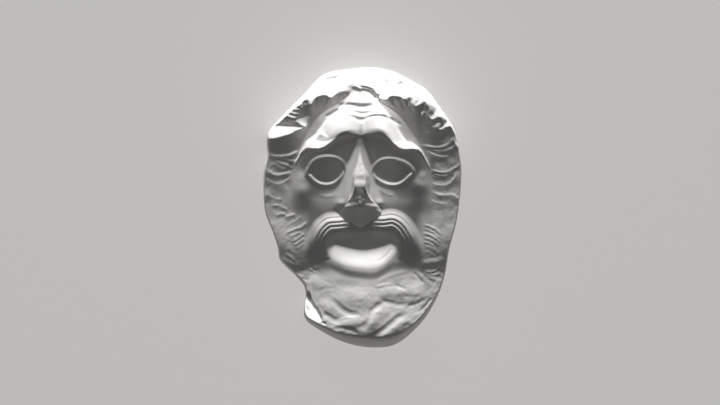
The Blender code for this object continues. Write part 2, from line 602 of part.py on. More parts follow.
def build_mask():
    """One closed shell: carved front, flat rim and hollow back."""
    blank = bmesh.new()
    bmesh.ops.create_cube(blank, size=2.0)
    bmesh.ops.subdivide_edges(blank, edges=blank.edges[:], cuts=CELLS - 1, use_grid_fill=True)
    corners = np.array([vert.co[:] for vert in blank.verts])
    placed = shape_blank(corners)
    for vert, place in zip(blank.verts, placed):
        vert.co = Vector(place) * MM
    bmesh.ops.triangulate(blank, faces=blank.faces[:])
    bmesh.ops.recalc_face_normals(blank, faces=blank.faces[:])
    mesh = bpy.data.meshes.new("theatre_mask")
    blank.to_mesh(mesh)
    blank.free()
    return mesh


def marble():
    """Pale, matt, fine-grained marble."""
    material = bpy.data.materials.new("marble")
    material.use_nodes = True
    shader = material.node_tree.nodes["Principled BSDF"]
    shader.inputs["Base Color"].default_value = (0.62, 0.61, 0.59, 1.0)
    shader.inputs["Roughness"].default_value = 0.75
    shader.inputs["Metallic"].default_value = 0.0
    return material


def simplified(mesh):
    """The same shell with fewer triangles, its rim laid flat again."""
    full = bpy.data.objects.new("full_mask", mesh)
    bpy.context.scene.collection.objects.link(full)
    reduce = full.modifiers.new("reduce", "DECIMATE")
    reduce.ratio = TRIANGLES_KEPT / len(mesh.polygons)
    bpy.context.view_layer.update()
    graph = bpy.context.evaluated_depsgraph_get()
    light = bpy.data.meshes.new_from_object(full.evaluated_get(graph))
    bpy.data.objects.remove(full, do_unlink=True)
    for vert in light.vertices:
        if vert.co.z < 0.4 * MM:
            vert.co.z = 0.0
    corners = np.array([vert.co[:] for vert in light.vertices])
    middle = (corners.max(axis=0) + corners.min(axis=0)) / 2.0
    light.transform(Matrix.Translation((-middle[0], -middle[1], 0.0)))
    return light


def main():
    """Clears the scene and leaves the mask in it."""
    for obj in list(bpy.data.objects):
        bpy.data.objects.remove(obj, do_unlink=True)
    mesh = simplified(build_mask())
    mesh.materials.clear()
    mesh.materials.append(marble())
    for polygon in mesh.polygons:
        polygon.use_smooth = True
    mask = bpy.data.objects.new("theatre_mask", mesh)
    bpy.context.scene.collection.objects.link(mask)


main()
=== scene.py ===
"""Greek theatre mask in marble, dressed for a render.

The mask lies on its back on a pale floor, and the camera looks straight down on it. The fine carving is
one closed mesh that takes the place of the plain solid. X runs to the right across the face, Y up the
face and Z out of it, and the carving is worked out in millimetres over the plane of the flat back rim.
"""

import logging
import math
from dataclasses import dataclass, field
from enum import Enum

import bmesh
import bpy
import numpy as np
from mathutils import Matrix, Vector, noise

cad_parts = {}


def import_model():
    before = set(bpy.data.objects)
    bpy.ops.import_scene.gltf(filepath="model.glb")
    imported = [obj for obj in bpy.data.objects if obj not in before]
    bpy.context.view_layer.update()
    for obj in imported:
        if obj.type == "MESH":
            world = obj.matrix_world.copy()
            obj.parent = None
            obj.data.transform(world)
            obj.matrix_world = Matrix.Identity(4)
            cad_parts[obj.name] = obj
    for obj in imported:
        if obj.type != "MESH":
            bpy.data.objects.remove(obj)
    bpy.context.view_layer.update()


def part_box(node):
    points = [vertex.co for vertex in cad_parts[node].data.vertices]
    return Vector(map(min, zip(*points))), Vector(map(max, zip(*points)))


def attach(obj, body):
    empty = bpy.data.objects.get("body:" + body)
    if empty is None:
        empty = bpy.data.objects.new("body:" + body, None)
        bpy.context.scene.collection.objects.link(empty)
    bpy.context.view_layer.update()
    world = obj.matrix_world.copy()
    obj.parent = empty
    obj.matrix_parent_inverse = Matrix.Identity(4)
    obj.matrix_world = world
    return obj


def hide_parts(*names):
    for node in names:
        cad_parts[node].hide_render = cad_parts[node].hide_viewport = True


MM = 0.001

Point = tuple[float, float]
Curve = tuple[Point, ...]
Pairs = tuple[Point, ...]
Array = np.ndarray

log = logging.getLogger("theatre_mask")


class Hand(Enum):
    """The side of a drawn line on which the hair falls."""

    LEFT_OF_LINE = 1
    RIGHT_OF_LINE = -1


def ease(low: float, high: float, value: Array) -> Array:
    """Climbs smoothly from 0 to 1.

    Args:
        low: the value at which the climb starts.
        high: the value at which it ends.
        value: the values to read.

    Returns:
        0 before the climb, 1 after it and a smooth ramp between.
    """
    share = np.clip((value - low) / (high - low), 0.0, 1.0)
    return share * share * (3.0 - 2.0 * share)


def soft_max(first: Array, second: Array, rounding: float) -> Array:
    """Takes the higher of two surfaces.

    Args:
        first: heights of one surface.
        second: heights of the other.
        rounding: how wide the rounded join is, in height.

    Returns:
        The joined heights.
    """
    share = np.clip(0.5 + 0.5 * (first - second) / rounding, 0.0, 1.0)
    return second + (first - second) * share + rounding * share * (1.0 - share)


def soft_min(first: Array, second: Array, rounding: float) -> Array:
    """Takes the lower of two surfaces.

    Args:
        first: heights of one surface.
        second: heights of the other.
        rounding: how wide the rounded join is, in height.

    Returns:
        The joined heights.
    """
    return -soft_max(-first, -second, rounding)


def rough(x: Array, y: Array, size: float, layer: float) -> Array:
    """Reads an uneven surface that never repeats.

    Args:
        x: places across the face.
        y: places up the face.
        size: how wide a bump is.
        layer: picks one such surface of many.

    Returns:
        Heights between about -1 and 1.
    """
    places = zip((x / size).ravel().tolist(), (y / size).ravel().tolist())
    values = [noise.noise(Vector((across, up, layer * 7.31))) for across, up in places]
    return np.array(values).reshape(x.shape)


def stand(name: str, data: bpy.types.ID) -> bpy.types.Object:
    """Stands a mesh, a light or a camera in the scene.

    Args:
        name: the name of the object.
        data: what it shows.

    Returns:
        The object.
    """
    thing = bpy.data.objects.new(name, data)
    bpy.context.scene.collection.objects.link(thing)
    return thing


class Line:
    """A smooth line on the face, drawn through a few points."""

    def __init__(self, points: Curve, closed: bool = False, steps: int = 7) -> None:
        """Draws the line.

        Args:
            points: the points that it passes through.
            closed: whether the line comes back to its start.
            steps: how many straight steps stand for each stretch between two points.
        """
        given = np.asarray(points, float)
        if closed:
            given = np.vstack([given[-1], given, given[:2]])
        else:
            given = np.vstack([2 * given[0] - given[1], given, 2 * given[-1] - given[-2]])
        t = np.linspace(0.0, 1.0, steps, endpoint=False)[:, None]
        runs = []
        for a, b, c, d in zip(given, given[1:], given[2:], given[3:]):
            square = (2 * a - 5 * b + 4 * c - d) * t**2
            cube = (3 * b - 3 * c + d - a) * t**3
            runs.append(0.5 * (2 * b + (c - a) * t + square + cube))
        runs.append(given[-2][None])
        self.path: Array = np.vstack(runs)

    def zone(self, x: Array, y: Array, reach: float) -> Array:
        """Finds what lies near the line.

        Args:
            x: places across the face.
            y: places up the face.
            reach: how far round the line's box to look.

        Returns:
            A mask of the places inside the widened box.
        """
        low = self.path.min(axis=0) - reach
        high = self.path.max(axis=0) + reach
        return (x > low[0]) & (x < high[0]) & (y > low[1]) & (y < high[1])

    def nearest(self, x: Array, y: Array) -> tuple[Array, Array]:
        """Measures how far places lie from the line.

        Args:
            x: places across the face.
            y: places up the face.

        Returns:
            The distance, positive on the line's left, and how far along the line its nearest point lies,
            as a share of the line's length.
        """
        steps = np.diff(self.path, axis=0)
        lengths = np.hypot(steps[:, 0], steps[:, 1])
        run = np.concatenate([[0.0], np.cumsum(lengths)])
        best = np.full(x.shape, np.inf)
        side = np.ones(x.shape)
        along = np.zeros(x.shape)
        for index, (step_x, step_y) in enumerate(steps):
            from_x = x - self.path[index, 0]
            from_y = y - self.path[index, 1]
            reach = (from_x * step_x + from_y * step_y) / (lengths[index] ** 2 + 1e-12)
            t = np.clip(reach, 0.0, 1.0)
            off_x = from_x - t * step_x
            off_y = from_y - t * step_y
            square = off_x**2 + off_y**2
            nearer = square < best
            best = np.where(nearer, square, best)
            along = np.where(nearer, (run[index] + t * lengths[index]) / run[-1], along)
            side = np.where(nearer, np.where(step_x * off_y - step_y * off_x < 0, -1.0, 1.0), side)
        return np.sqrt(best) * side, along


def table(value: Array, pairs: Pairs) -> Array:
    """Reads a smooth curve through pairs of numbers.

    Args:
        value: where to read it.
        pairs: the places and the values there.

    Returns:
        The value of the curve at each place.
    """
    places, levels = np.array(sorted(pairs), float).T
    slopes = np.gradient(levels, places)
    inner = np.clip(value, places[0], places[-1])
    index = np.clip(np.searchsorted(places, inner) - 1, 0, len(places) - 2)
    width = places[index + 1] - places[index]
    t = (inner - places[index]) / width
    start = levels[index] + slopes[index] * width * t * (1.0 - t) ** 2
    end = levels[index + 1] - slopes[index + 1] * width * (1.0 - t) * t**2
    climb = t * t * (3.0 - 2.0 * t)
    return start - levels[index] * climb + end - levels[index + 1] * (1.0 - climb)


def inside(points: Curve, x: Array, y: Array) -> Array:
    """Measures depth inside a closed line that runs anticlockwise.

    Args:
        points: the points of the line.
        x: places across the face.
        y: places up the face.

    Returns:
        The distance to the line, positive inside it.
    """
    return Line(points, closed=True).nearest(x, y)[0]


@dataclass(frozen=True)
class Stroke:
    """One pass of a round chisel: a ridge left standing or, with a negative height, a furrow cut."""

    points: Curve
    width: float
    height: float
    taper: float = 0.25


@dataclass(frozen=True)
class Bump:
    """A low mound with an oval edge, or a pit where the height is negative."""

    middle: Point
    size: Point
    height: float
    turn: float = 0.0
    steepness: float = 2.0


@dataclass(frozen=True)
class Swelling:
    """A soft rise that dies away without an edge."""

    middle: Point
    size: Point
    height: float


@dataclass(frozen=True)
class Lock:
    """A lock of hair that overlaps the next like a tile.

    Its edge is drawn from left to right. The surface steps up quickly onto the edge from above it, and
    falls slowly away below, with fine strands beside the edge.
    """

    edge: Curve
    height: float
    step: float = 2.4
    slope: float = 6.0
    comb: float = 0.12
    start: float = 0.28
    end: float = 0.18


@dataclass
class Relief:
    """The surface of the front while it is carved: places in the rim plane and heights over it."""

    x: Array
    y: Array
    share: Array
    z: Array = field(init=False)

    def __post_init__(self) -> None:
        """Starts from a flat surface."""
        self.z = np.zeros_like(self.x)

    def stroke(self, stroke: Stroke) -> None:
        """Cuts or leaves one stroke.

        Args:
            stroke: the stroke.
        """
        line = Line(stroke.points)
        zone = line.zone(self.x, self.y, stroke.width)
        away, along = line.nearest(self.x[zone], self.y[zone])
        ends = ease(0.0, stroke.taper, along) * ease(0.0, stroke.taper, 1.0 - along)
        rounding = np.clip(1.0 - (away / stroke.width) ** 2, 0.0, 1.0) ** 2
        self.z[zone] += stroke.height * rounding * ends

    def oval(self, bump: Bump) -> Array:
        """Measures how far into an oval each place lies.

        Args:
            bump: the oval.

        Returns:
            1 at its middle, falling to 0 at its edge.
        """
        cos = math.cos(math.radians(bump.turn))
        sin = math.sin(math.radians(bump.turn))
        from_x = self.x - bump.middle[0]
        from_y = self.y - bump.middle[1]
        across = (from_x * cos + from_y * sin) / bump.size[0]
        up = (from_y * cos - from_x * sin) / bump.size[1]
        return np.clip(1.0 - across**2 - up**2, 0.0, 1.0) ** bump.steepness

    def bump(self, bump: Bump) -> None:
        """Adds one mound or pit.

        Args:
            bump: the mound.
        """
        self.z += bump.height * self.oval(bump)

    def swell(self, swelling: Swelling) -> None:
        """Adds one soft swelling.

        Args:
            swelling: the swelling.
        """
        across = (self.x - swelling.middle[0]) / swelling.size[0]
        up = (self.y - swelling.middle[1]) / swelling.size[1]
        self.z += swelling.height * np.exp(-(across**2) - up**2)

    def locks(self, locks: tuple[Lock, ...], gain: float, pitch: float = 2.3) -> None:
        """Lays overlapping locks.

        Args:
            locks: the locks, in any order.
            gain: scales their heights.
            pitch: how far apart the fine strands in a lock are.
        """
        relief = np.zeros_like(self.z)
        strands = np.zeros_like(self.z)
        for lock in locks:
            line = Line(lock.edge)
            zone = line.zone(self.x, self.y, max(1.3 * lock.step, lock.slope))
            away, along = line.nearest(self.x[zone], self.y[zone])
            below = np.clip(-away, 0.0, None)
            down = np.clip(1.0 - below / lock.slope, 0.0, 1.0) ** 1.3
            shape = np.where(away > 0, ease(1.3 * lock.step, 0.0, away), down)
            ends = ease(0.0, lock.start, along) * ease(0.0, lock.end, 1.0 - along)
            body = gain * lock.height * shape * ends
            comb = lock.comb * np.cos(2 * math.pi * below / pitch) * down * (away < 0) * ends
            taller = body > relief[zone]
            strands[zone] = np.where(taller, comb, strands[zone])
            relief[zone] = (relief[zone] ** 5 + body**5) ** 0.2
        self.z += relief + strands


@dataclass
class Shell:
    """The plain shell that carries the carving: its broken outline, its walls and the hollow behind."""

    outline: Curve = (
        (12, 140.5), (-12, 139), (-32, 136), (-44, 129.5), (-60, 112), (-80, 92), (-95, 74), (-95.5, 55),
        (-99, 34), (-98, -2), (-90, -25), (-85, -40), (-82, -54), (-66, -70), (-57, -84), (-58, -110),
        (-44, -123), (-17, -136.5), (12, -141.5), (36, -137), (60, -116), (75, -92), (83, -70), (88, -42),
        (96, -10), (100, 32), (98.5, 55), (93, 78), (81, 97), (66, 117), (52, 126), (34, 135.5),
    )
    profile: Pairs = (
        (150, 51), (130, 53.4), (118, 55), (108, 56.8), (98, 58.4), (88, 59.6), (78, 60.2), (66, 60.5),
        (45, 60.8), (28, 60.3), (0, 60), (-40, 58.6), (-54, 57.4), (-63, 57.2), (-72, 58.3), (-85, 60.7),
        (-100, 63.4), (-115, 66), (-126, 66.8), (-145, 63),
    )
    side_fall: float = 17.0
    side_reach: float = 80.0
    side_power: float = 2.2
    wall_height: Pairs = (
        (-180, 230), (-150, 230), (-120, 230), (-105, 215), (-90, 180), (-75, 190), (-60, 220),
        (-35, 240), (-15, 240), (0, 235), (25, 240), (42, 240), (50, 205), (58, 165), (68, 131),
        (90, 128), (104, 132), (113, 170), (120, 215), (136, 220), (145, 200), (155, 215), (180, 230),
    )
    wall_rounding: float = 8.0
    rim_share: float = 0.885
    hollow_depth: float = 45.0
    hollow_power: float = 2.7
    hollow_roundness: float = 2.2
    mouth_wall: float = 14.0
    mouth_wall_middle: Point = (0.0, -42.0)
    mouth_wall_size: Point = (62.0, 44.0)
    flute_pitch: float = 8.5
    flute_depth: float = 0.6
    flute_sway: float = 5.0
    flute_sway_length: float = 11.0
    flute_foot: Point = (4.0, 12.0)
    flute_top: Point = (38.0, 24.0)
    fine_flutes: float = 2.7
    fine_flute_share: float = 0.35

    def __post_init__(self) -> None:
        """Measures the outline once, by direction from the middle."""
        path = Line(self.outline, closed=True, steps=10).path[:-1]
        angles = np.arctan2(path[:, 1], path[:, 0])
        order = np.argsort(angles)
        self._angles: Array = angles[order]
        self._radii: Array = np.hypot(path[:, 0], path[:, 1])[order]

    def radius(self, angle: Array) -> Array:
        """Gives the distance from the middle to the outline.

        Args:
            angle: directions from the middle.

        Returns:
            The distance in each direction.
        """
        return np.interp(angle, self._angles, self._radii, period=2 * math.pi)

    def ground(self, relief: Relief) -> None:
        """Lays the gently domed ground of the face, in the given relief."""
        fall = self.side_fall * (np.abs(relief.x) / self.side_reach) ** self.side_power
        relief.z += table(relief.y, self.profile) - fall

    def walls(self, relief: Relief) -> None:
        """Rounds the front over into the side walls.

        Args:
            relief: the carved surface.
        """
        direction = np.degrees(np.arctan2(relief.y, relief.x))
        drop = np.sqrt(np.clip(1.0 - relief.share**2, 0.0, 1.0))
        relief.z = soft_min(relief.z, table(direction, self.wall_height) * drop, self.wall_rounding)

    def fluting(self, angle: Array, height: Array) -> Array:
        """Gives the depth of the locks that run down the side walls.

        Args:
            angle: directions from the middle.
            height: heights over the rim plane.

        Returns:
            How far the wall is cut back.
        """
        run = self.radius(angle) * angle + self.flute_sway * np.sin(height / self.flute_sway_length)
        wave = 0.5 - 0.5 * np.cos(2 * math.pi * run / self.flute_pitch)
        fine = 0.5 - 0.5 * np.cos(2 * math.pi * run / self.flute_pitch * self.fine_flutes)
        band = ease(*self.flute_foot, height) * ease(*self.flute_top, height)
        return self.flute_depth * (wave + self.fine_flute_share * fine) * band

    def hollow(self, x: Array, y: Array, share: Array) -> Array:
        """Gives the height of the hollow behind the face, with the marks of rough chiselling.

        Args:
            x: places across the face.
            y: places up the face.
            share: how far out to the outline each place lies.

        Returns:
            Heights over the rim plane.
        """
        within = np.clip(share / self.rim_share, 0.0, 1.0)
        dome = self.hollow_depth * (1.0 - within**self.hollow_power) ** (1.0 / self.hollow_roundness)
        across = (x - self.mouth_wall_middle[0]) / self.mouth_wall_size[0]
        up = (y - self.mouth_wall_middle[1]) / self.mouth_wall_size[1]
        oval = np.clip(1.0 - across**2 - up**2, 0.0, 1.0) ** 2
        marks = 0.7 * rough(x, y, 15.0, 3.0) + 0.45 * rough(x * 0.5 + y * 0.2, y, 4.5, 4.0)
        return dome - self.mouth_wall * oval * (1.0 - within**4) + marks * ease(1.0, 0.9, within)


@dataclass
class Brows:
    """The forehead, climbing to the long pitched brows, the hollows below them and the wrinkles above."""

    forehead: Curve = (
        (4, 116.5), (-6, 117), (-13, 113.5), (-17, 106), (-20, 101.5), (-25.5, 95.5), (-32, 90),
        (-37.5, 85), (-41.5, 79.5), (-45.5, 74.5), (-49.5, 70), (-56.5, 65.5), (-60, 60), (-64, 51),
        (-68, 38), (0, 30), (68, 34), (63, 50), (58.5, 57.5), (50, 64), (45, 65), (40.5, 71), (37, 76.5),
        (33, 82.8), (28.5, 89.5), (23.5, 96), (18, 102), (13, 107), (9, 113),
    )
    edge: Curve = (
        (-70, 38), (-62.5, 52), (-60, 56), (-56, 58.2), (-50, 58.2), (-43, 58.2), (-38, 59.6),
        (-32, 63.3), (-26, 67), (-20, 70.5), (-12, 72), (0, 71), (8, 72.3), (15, 72), (22, 70.5),
        (27, 67.3), (32, 62.2), (36, 58.8), (41, 57.2), (50, 57.5), (57, 57.4), (60, 54), (63, 49),
        (70, 34),
    )
    start: Curve = (
        (-70, 62), (-56, 72), (-48, 74.5), (-40, 74), (-34, 72), (-28, 72), (-20, 75.5), (-8, 75.5),
        (0, 75), (8, 76), (15, 76), (24, 72.5), (30, 67), (36, 64), (44, 63.5), (60, 62), (70, 60),
    )
    height: Pairs = (
        (0, 15.2), (3, 16), (6, 18.2), (12, 21.5), (18, 22.5), (28, 21.5), (36, 19.5), (46, 16), (55, 11),
        (61, 5), (69, 0), (80, 0),
    )
    leaf: Pairs = (
        (-66, 0), (-61, 3.6), (-55, 6.0), (-46, 6.0), (-36, 4.4), (-27, 0), (0, 0), (31, 0), (38, 3.4),
        (46, 4.6), (54, 3.6), (60, 0.7), (66, 0),
    )
    leaf_top: Curve = (
        (-66, 50), (-60, 60), (-54, 66), (-50, 67.8), (-45, 66.8), (-40, 65.6), (-34, 66.4), (-26, 71.5),
        (0, 78), (28, 73), (36, 65.5), (45, 65), (50, 64), (57, 60), (62, 53.5), (66, 49),
    )
    top: float = 122.0
    top_margin: float = 3.0
    least_reach: float = 5.0
    climb_power: float = 1.25
    temple: float = 0.5
    rounding: float = 1.6
    outer_rise: float = 0.05
    outer_ramp: Point = (-9.0, 3.0)
    edge_rise: float = 0.3
    edge_ramp: Point = (-1.0, 3.0)
    shoulder_rise: float = 0.65
    shoulder: float = 15.0
    ledge_ramp: Point = (0.0, 4.0)
    ledge_band: Point = (9.0, -3.0)
    least_leaf: float = 3.0
    leaf_limit: float = 2.6
    leaf_gain: float = 0.1
    underside: float = 50.0
    underside_power: float = 1.7
    undercut: float = 0.3
    undercut_ramp: Point = (-1.5, 4.5)
    wrinkles: tuple[Stroke, ...] = (
        Stroke(((-26, 100), (-15, 101), (-7, 100.3), (0, 99.5), (8, 100.3), (16, 101.5)), 4.2, -2.4),
        Stroke(
            ((-32, 92.5), (-25, 95.5), (-15, 96.3), (-5, 94.2), (0, 93), (8, 94.2), (15, 95.5), (24, 95)),
            2.8, -0.9,
        ),
        Stroke(((-38, 89), (-30, 93), (-25, 95.5), (-18, 97)), 2.6, -0.9),
        Stroke(
            ((-38, 84), (-30, 87.8), (-22, 89.8), (-14, 90), (-8, 89), (-2, 86.8), (4, 88), (10, 89.6)),
            2.6, -0.8,
        ),
        Stroke(((2, 87.4), (10, 90), (20, 90.2), (28, 87.5), (34, 84.5), (40, 80)), 2.5, -2.4, 0.3),
        Stroke(((-8, 88.2), (-2, 86.8), (4, 88)), 3.2, -1.0, 0.4),
        Stroke(((-51, 71.5), (-46, 71.2), (-41, 70.6), (-36, 71), (-31, 73)), 5.0, -0.8, 0.35),
    )

    def carve(self, relief: Relief) -> None:
        """Carves the brows.

        Args:
            relief: the surface to carve.
        """
        edge = table(relief.x, self.edge)
        over = relief.y - edge
        height = table(np.abs(relief.x), self.height)
        rise = relief.y - table(relief.x, self.start)
        rolled = self.rounding * np.logaddexp(0.0, rise / self.rounding)
        reach = np.maximum(self.top - edge - self.top_margin, self.least_reach)
        climb = np.clip(1.0 - rolled / reach, 0.0, 1.0) ** self.climb_power
        depth = inside(self.forehead, relief.x, relief.y)
        on_brow = self.outer_rise * ease(*self.outer_ramp, depth)
        on_brow += self.edge_rise * ease(*self.edge_ramp, depth)
        on_brow += self.shoulder_rise * np.sin(np.clip(depth / self.shoulder, 0.0, 1.0) * math.pi / 2)
        on_brow = np.maximum(on_brow, ease(*self.ledge_ramp, depth) * ease(*self.ledge_band, rise))
        leaf_span = np.maximum(table(relief.x, self.leaf_top) - edge, self.least_leaf)
        up_leaf = np.clip(over / leaf_span, 0.0, self.leaf_limit)
        above_leaf = self.leaf_gain * np.clip(up_leaf - 1.0, 0.0, None)
        leaf = table(relief.x, self.leaf) * (np.minimum(up_leaf, 1.0) + above_leaf)
        dome = (self.temple + (height - self.temple) * climb - leaf) * on_brow
        drop = np.clip(-over, 0.0, None)
        slack = np.clip(1.0 - drop / self.underside, 0.0, 1.0) ** self.underside_power
        under = self.undercut * ease(*self.undercut_ramp, drop) + (1.0 - self.undercut) * (1.0 - slack)
        relief.z += np.where(over > 0, dome, height * (1.0 - under))
        for wrinkle in self.wrinkles:
            relief.stroke(wrinkle)


@dataclass(frozen=True)
class Eye:
    """One staring eye: the ball, the two lids as raised bands and the folds below."""

    opening: Curve
    corner_level: float
    folds: tuple[Stroke, ...]
    lid_width: float = 3.6
    upper_height: float = 1.9
    lower_height: float = 1.35
    lower_climb: float = 3.6
    upper_edge: Point = (1.2, -0.2)
    corner_blend: float = 2.5
    margin: float = 6.0

    def carve(self, relief: Relief) -> None:
        """Carves the eye.

        Args:
            relief: the surface to carve.
        """
        zone = Line(self.opening, closed=True).zone(relief.x, relief.y, self.margin)
        x = relief.x[zone]
        y = relief.y[zone]
        depth = inside(self.opening, x, y)
        band = np.clip(1.0 + np.minimum(depth, 0.0) / self.lid_width, 0.0, 1.0)
        upper = self.upper_height * band * ease(*self.upper_edge, depth)
        lower = self.lower_height * band * ease(self.lower_climb, 0.0, depth)
        to_upper = ease(-self.corner_blend, self.corner_blend, y - self.corner_level)
        relief.z[zone] += lower + (upper - lower) * to_upper
        for fold in self.folds:
            relief.stroke(fold)


LEFT_EYE = Eye(
    opening=(
        (-54.5, 33), (-52, 30), (-48, 26), (-43, 22.9), (-37, 21.6), (-31, 22.2), (-26, 24.5), (-21, 29),
        (-17.5, 34.5), (-18, 40.5), (-21, 45.5), (-27, 48.6), (-34, 49.5), (-42, 48.5), (-48.5, 45),
        (-52.5, 39),
    ),
    corner_level=35.5,
    folds=(
        Stroke(((-44, 12.5), (-36, 10.5), (-29, 11.5), (-22, 15)), 3.0, 0.12),
    ),
)
RIGHT_EYE = Eye(
    opening=(
        (10.5, 32.5), (14, 27.8), (20, 24.1), (27, 21.8), (34, 21.6), (40, 23.8), (45.5, 28.2),
        (50.5, 34.2), (48, 39.3), (43, 43.3), (36, 46), (28, 47.3), (20, 46.3), (14.5, 42.5), (11, 37),
    ),
    corner_level=33.5,
    folds=(
        Stroke(((13, 20), (18, 16.5), (26, 12.5), (34, 12)), 2.6, 0.12),
    ),
)


@dataclass
class Nose:
    """The long nose: sloping flanks, a worn flat ridge that stands up from them and a broken tip."""

    crest: Pairs = (
        (84, 74), (78, 75.3), (74, 75.2), (70, 75.2), (67, 75.2), (64, 75.15), (61, 75.15), (58, 75.4),
        (55, 75.8), (50, 76.7), (40, 78.8), (30, 80.9), (20, 83), (12, 84.8), (6, 85.8), (2, 85.5),
        (-1, 83), (-4, 78), (-8, 71), (-12, 65), (-20, 55),
    )
    left_side: Pairs = ((84, 1.3), (60, 1.25), (40, 1.15), (-20, 1.17))
    right_side: Pairs = ((84, 1.4), (60, 1.5), (24, 1.45), (10, 1.36), (-20, 1.36))
    facet: Pairs = (
        (60, 73.6), (56, 75.2), (53.5, 76.0), (52, 76.4), (49, 77.3), (46, 78.3), (43, 79.35), (40, 80.4),
        (37, 81.5), (34, 82.55), (32.5, 83.05), (31, 83.35), (28, 83.9), (26.5, 84.25), (23.5, 85.4),
        (22, 85.75), (20.5, 85.95), (18, 85.95), (15, 85.9), (12, 85.8), (8, 85.65), (4, 85.5),
        (2, 85.35), (1, 85.1), (0, 84.3), (-2, 81.8), (-6, 76.6), (-10, 71.8), (-14, 67), (-18, 62.5),
        (-24, 54),
    )
    facet_half: Pairs = (
        (60, 0), (54, 0), (52, 0.4), (49, 1.2), (46, 1.7), (43, 2.2), (40, 2.8), (37, 3.5), (34, 4.2),
        (31, 4.8), (28, 5.1), (24, 5.3), (20, 5.6), (16, 6.4), (13, 7.3), (10, 8.9), (8, 10.3), (6, 12.4),
        (4, 14.9), (2, 17.4), (0, 19.3), (-2, 20.6), (-4, 21.1), (-6, 20.7), (-8, 19.4), (-10, 16.8),
        (-12, 14), (-14, 11), (-16, 7.5), (-18, 3.5), (-22, 0),
    )
    wall: Pairs = ((60, 3.4), (30, 3.4), (20, 3.6), (12, 4), (6, 4), (0, 3), (-10, 2), (-24, 2))
    crown: Pairs = (
        (24, 0), (17, 0.02), (13, 0.045), (8, 0.07), (4, 0.075), (0, 0.06), (-4, 0.042), (-10, 0.03),
        (-24, 0.02),
    )
    middle: float = -2.0
    top: float = 84.0
    foot: float = -24.0
    half_width: float = 34.0
    ridge_rounding: float = 1.5
    foot_rounding: float = 4.0
    facet_rounding: float = 0.7
    wing_drop: float = 3.5
    wing_ramp: Point = (13.0, 19.0)
    wings: tuple[Swelling, ...] = (
        Swelling((-20.5, 3.8), (4.2, 3.2), 0.9),
        Swelling((16.5, 4.4), (4.2, 3.2), 0.9),
    )
    worn: Bump = Bump((-1.6, 36), (7, 17), 0.28, 0.0, 0.8)
    worn_grain: float = 5.0
    broken: Bump = Bump((-1.5, 8), (16, 14), 0.3, 0.0, 0.8)
    broken_grain: float = 3.2

    def carve(self, relief: Relief) -> None:
        """Carves the nose.

        Args:
            relief: the surface to carve.
        """
        zone = (relief.y < self.top) & (relief.y > self.foot)
        zone &= np.abs(relief.x - self.middle) < self.half_width
        x = relief.x[zone]
        y = relief.y[zone]
        away = x - self.middle
        out = np.abs(away)
        side = np.where(away < 0, table(y, self.left_side), table(y, self.right_side))
        late = self.wing_drop * ease(*self.wing_ramp, out)
        slant = np.hypot(out, self.ridge_rounding) - self.ridge_rounding
        flank = table(y + late, self.crest) - side * slant
        height = soft_max(relief.z[zone], flank, self.foot_rounding)
        beyond = np.clip(out - table(y, self.facet_half), 0.0, None)
        facet = table(y, self.facet) - table(y, self.wall) * beyond - table(y, self.crown) * out**2
        relief.z[zone] = soft_max(height, facet, self.facet_rounding)
        for wing in self.wings:
            relief.swell(wing)
        for patch, size in ((self.worn, self.worn_grain), (self.broken, self.broken_grain)):
            crumb = rough(relief.x, relief.y, size, 9.0) + 0.6 * rough(relief.x, relief.y, size / 2, 10.0)
            relief.z += patch.height * relief.oval(patch) * crumb


@dataclass
class Cheeks:
    """The cheekbones below the outer corners of the eyes, and the soft cheeks beside the nose."""

    swellings: tuple[Swelling, ...] = (
        Swelling((-59, 12), (10, 18), 1.9),
        Swelling((-60, 29), (5, 6), 0.7),
        Swelling((-60, 17), (8, 11), 1.6),
        Swelling((58, 16), (8, 17), 1.4),
        Swelling((57.5, 22), (8, 8), 1.4),
        Swelling((50, 9), (9, 14), 0.8),
        Swelling((60, 31), (4, 4), 0.5),
        Swelling((-32, 0), (19, 15), 1.2),
        Swelling((29, 2), (18, 16), 1.3),
    )

    def carve(self, relief: Relief) -> None:
        """Raises the cheeks, in the given relief."""
        for swelling in self.swellings:
            relief.swell(swelling)


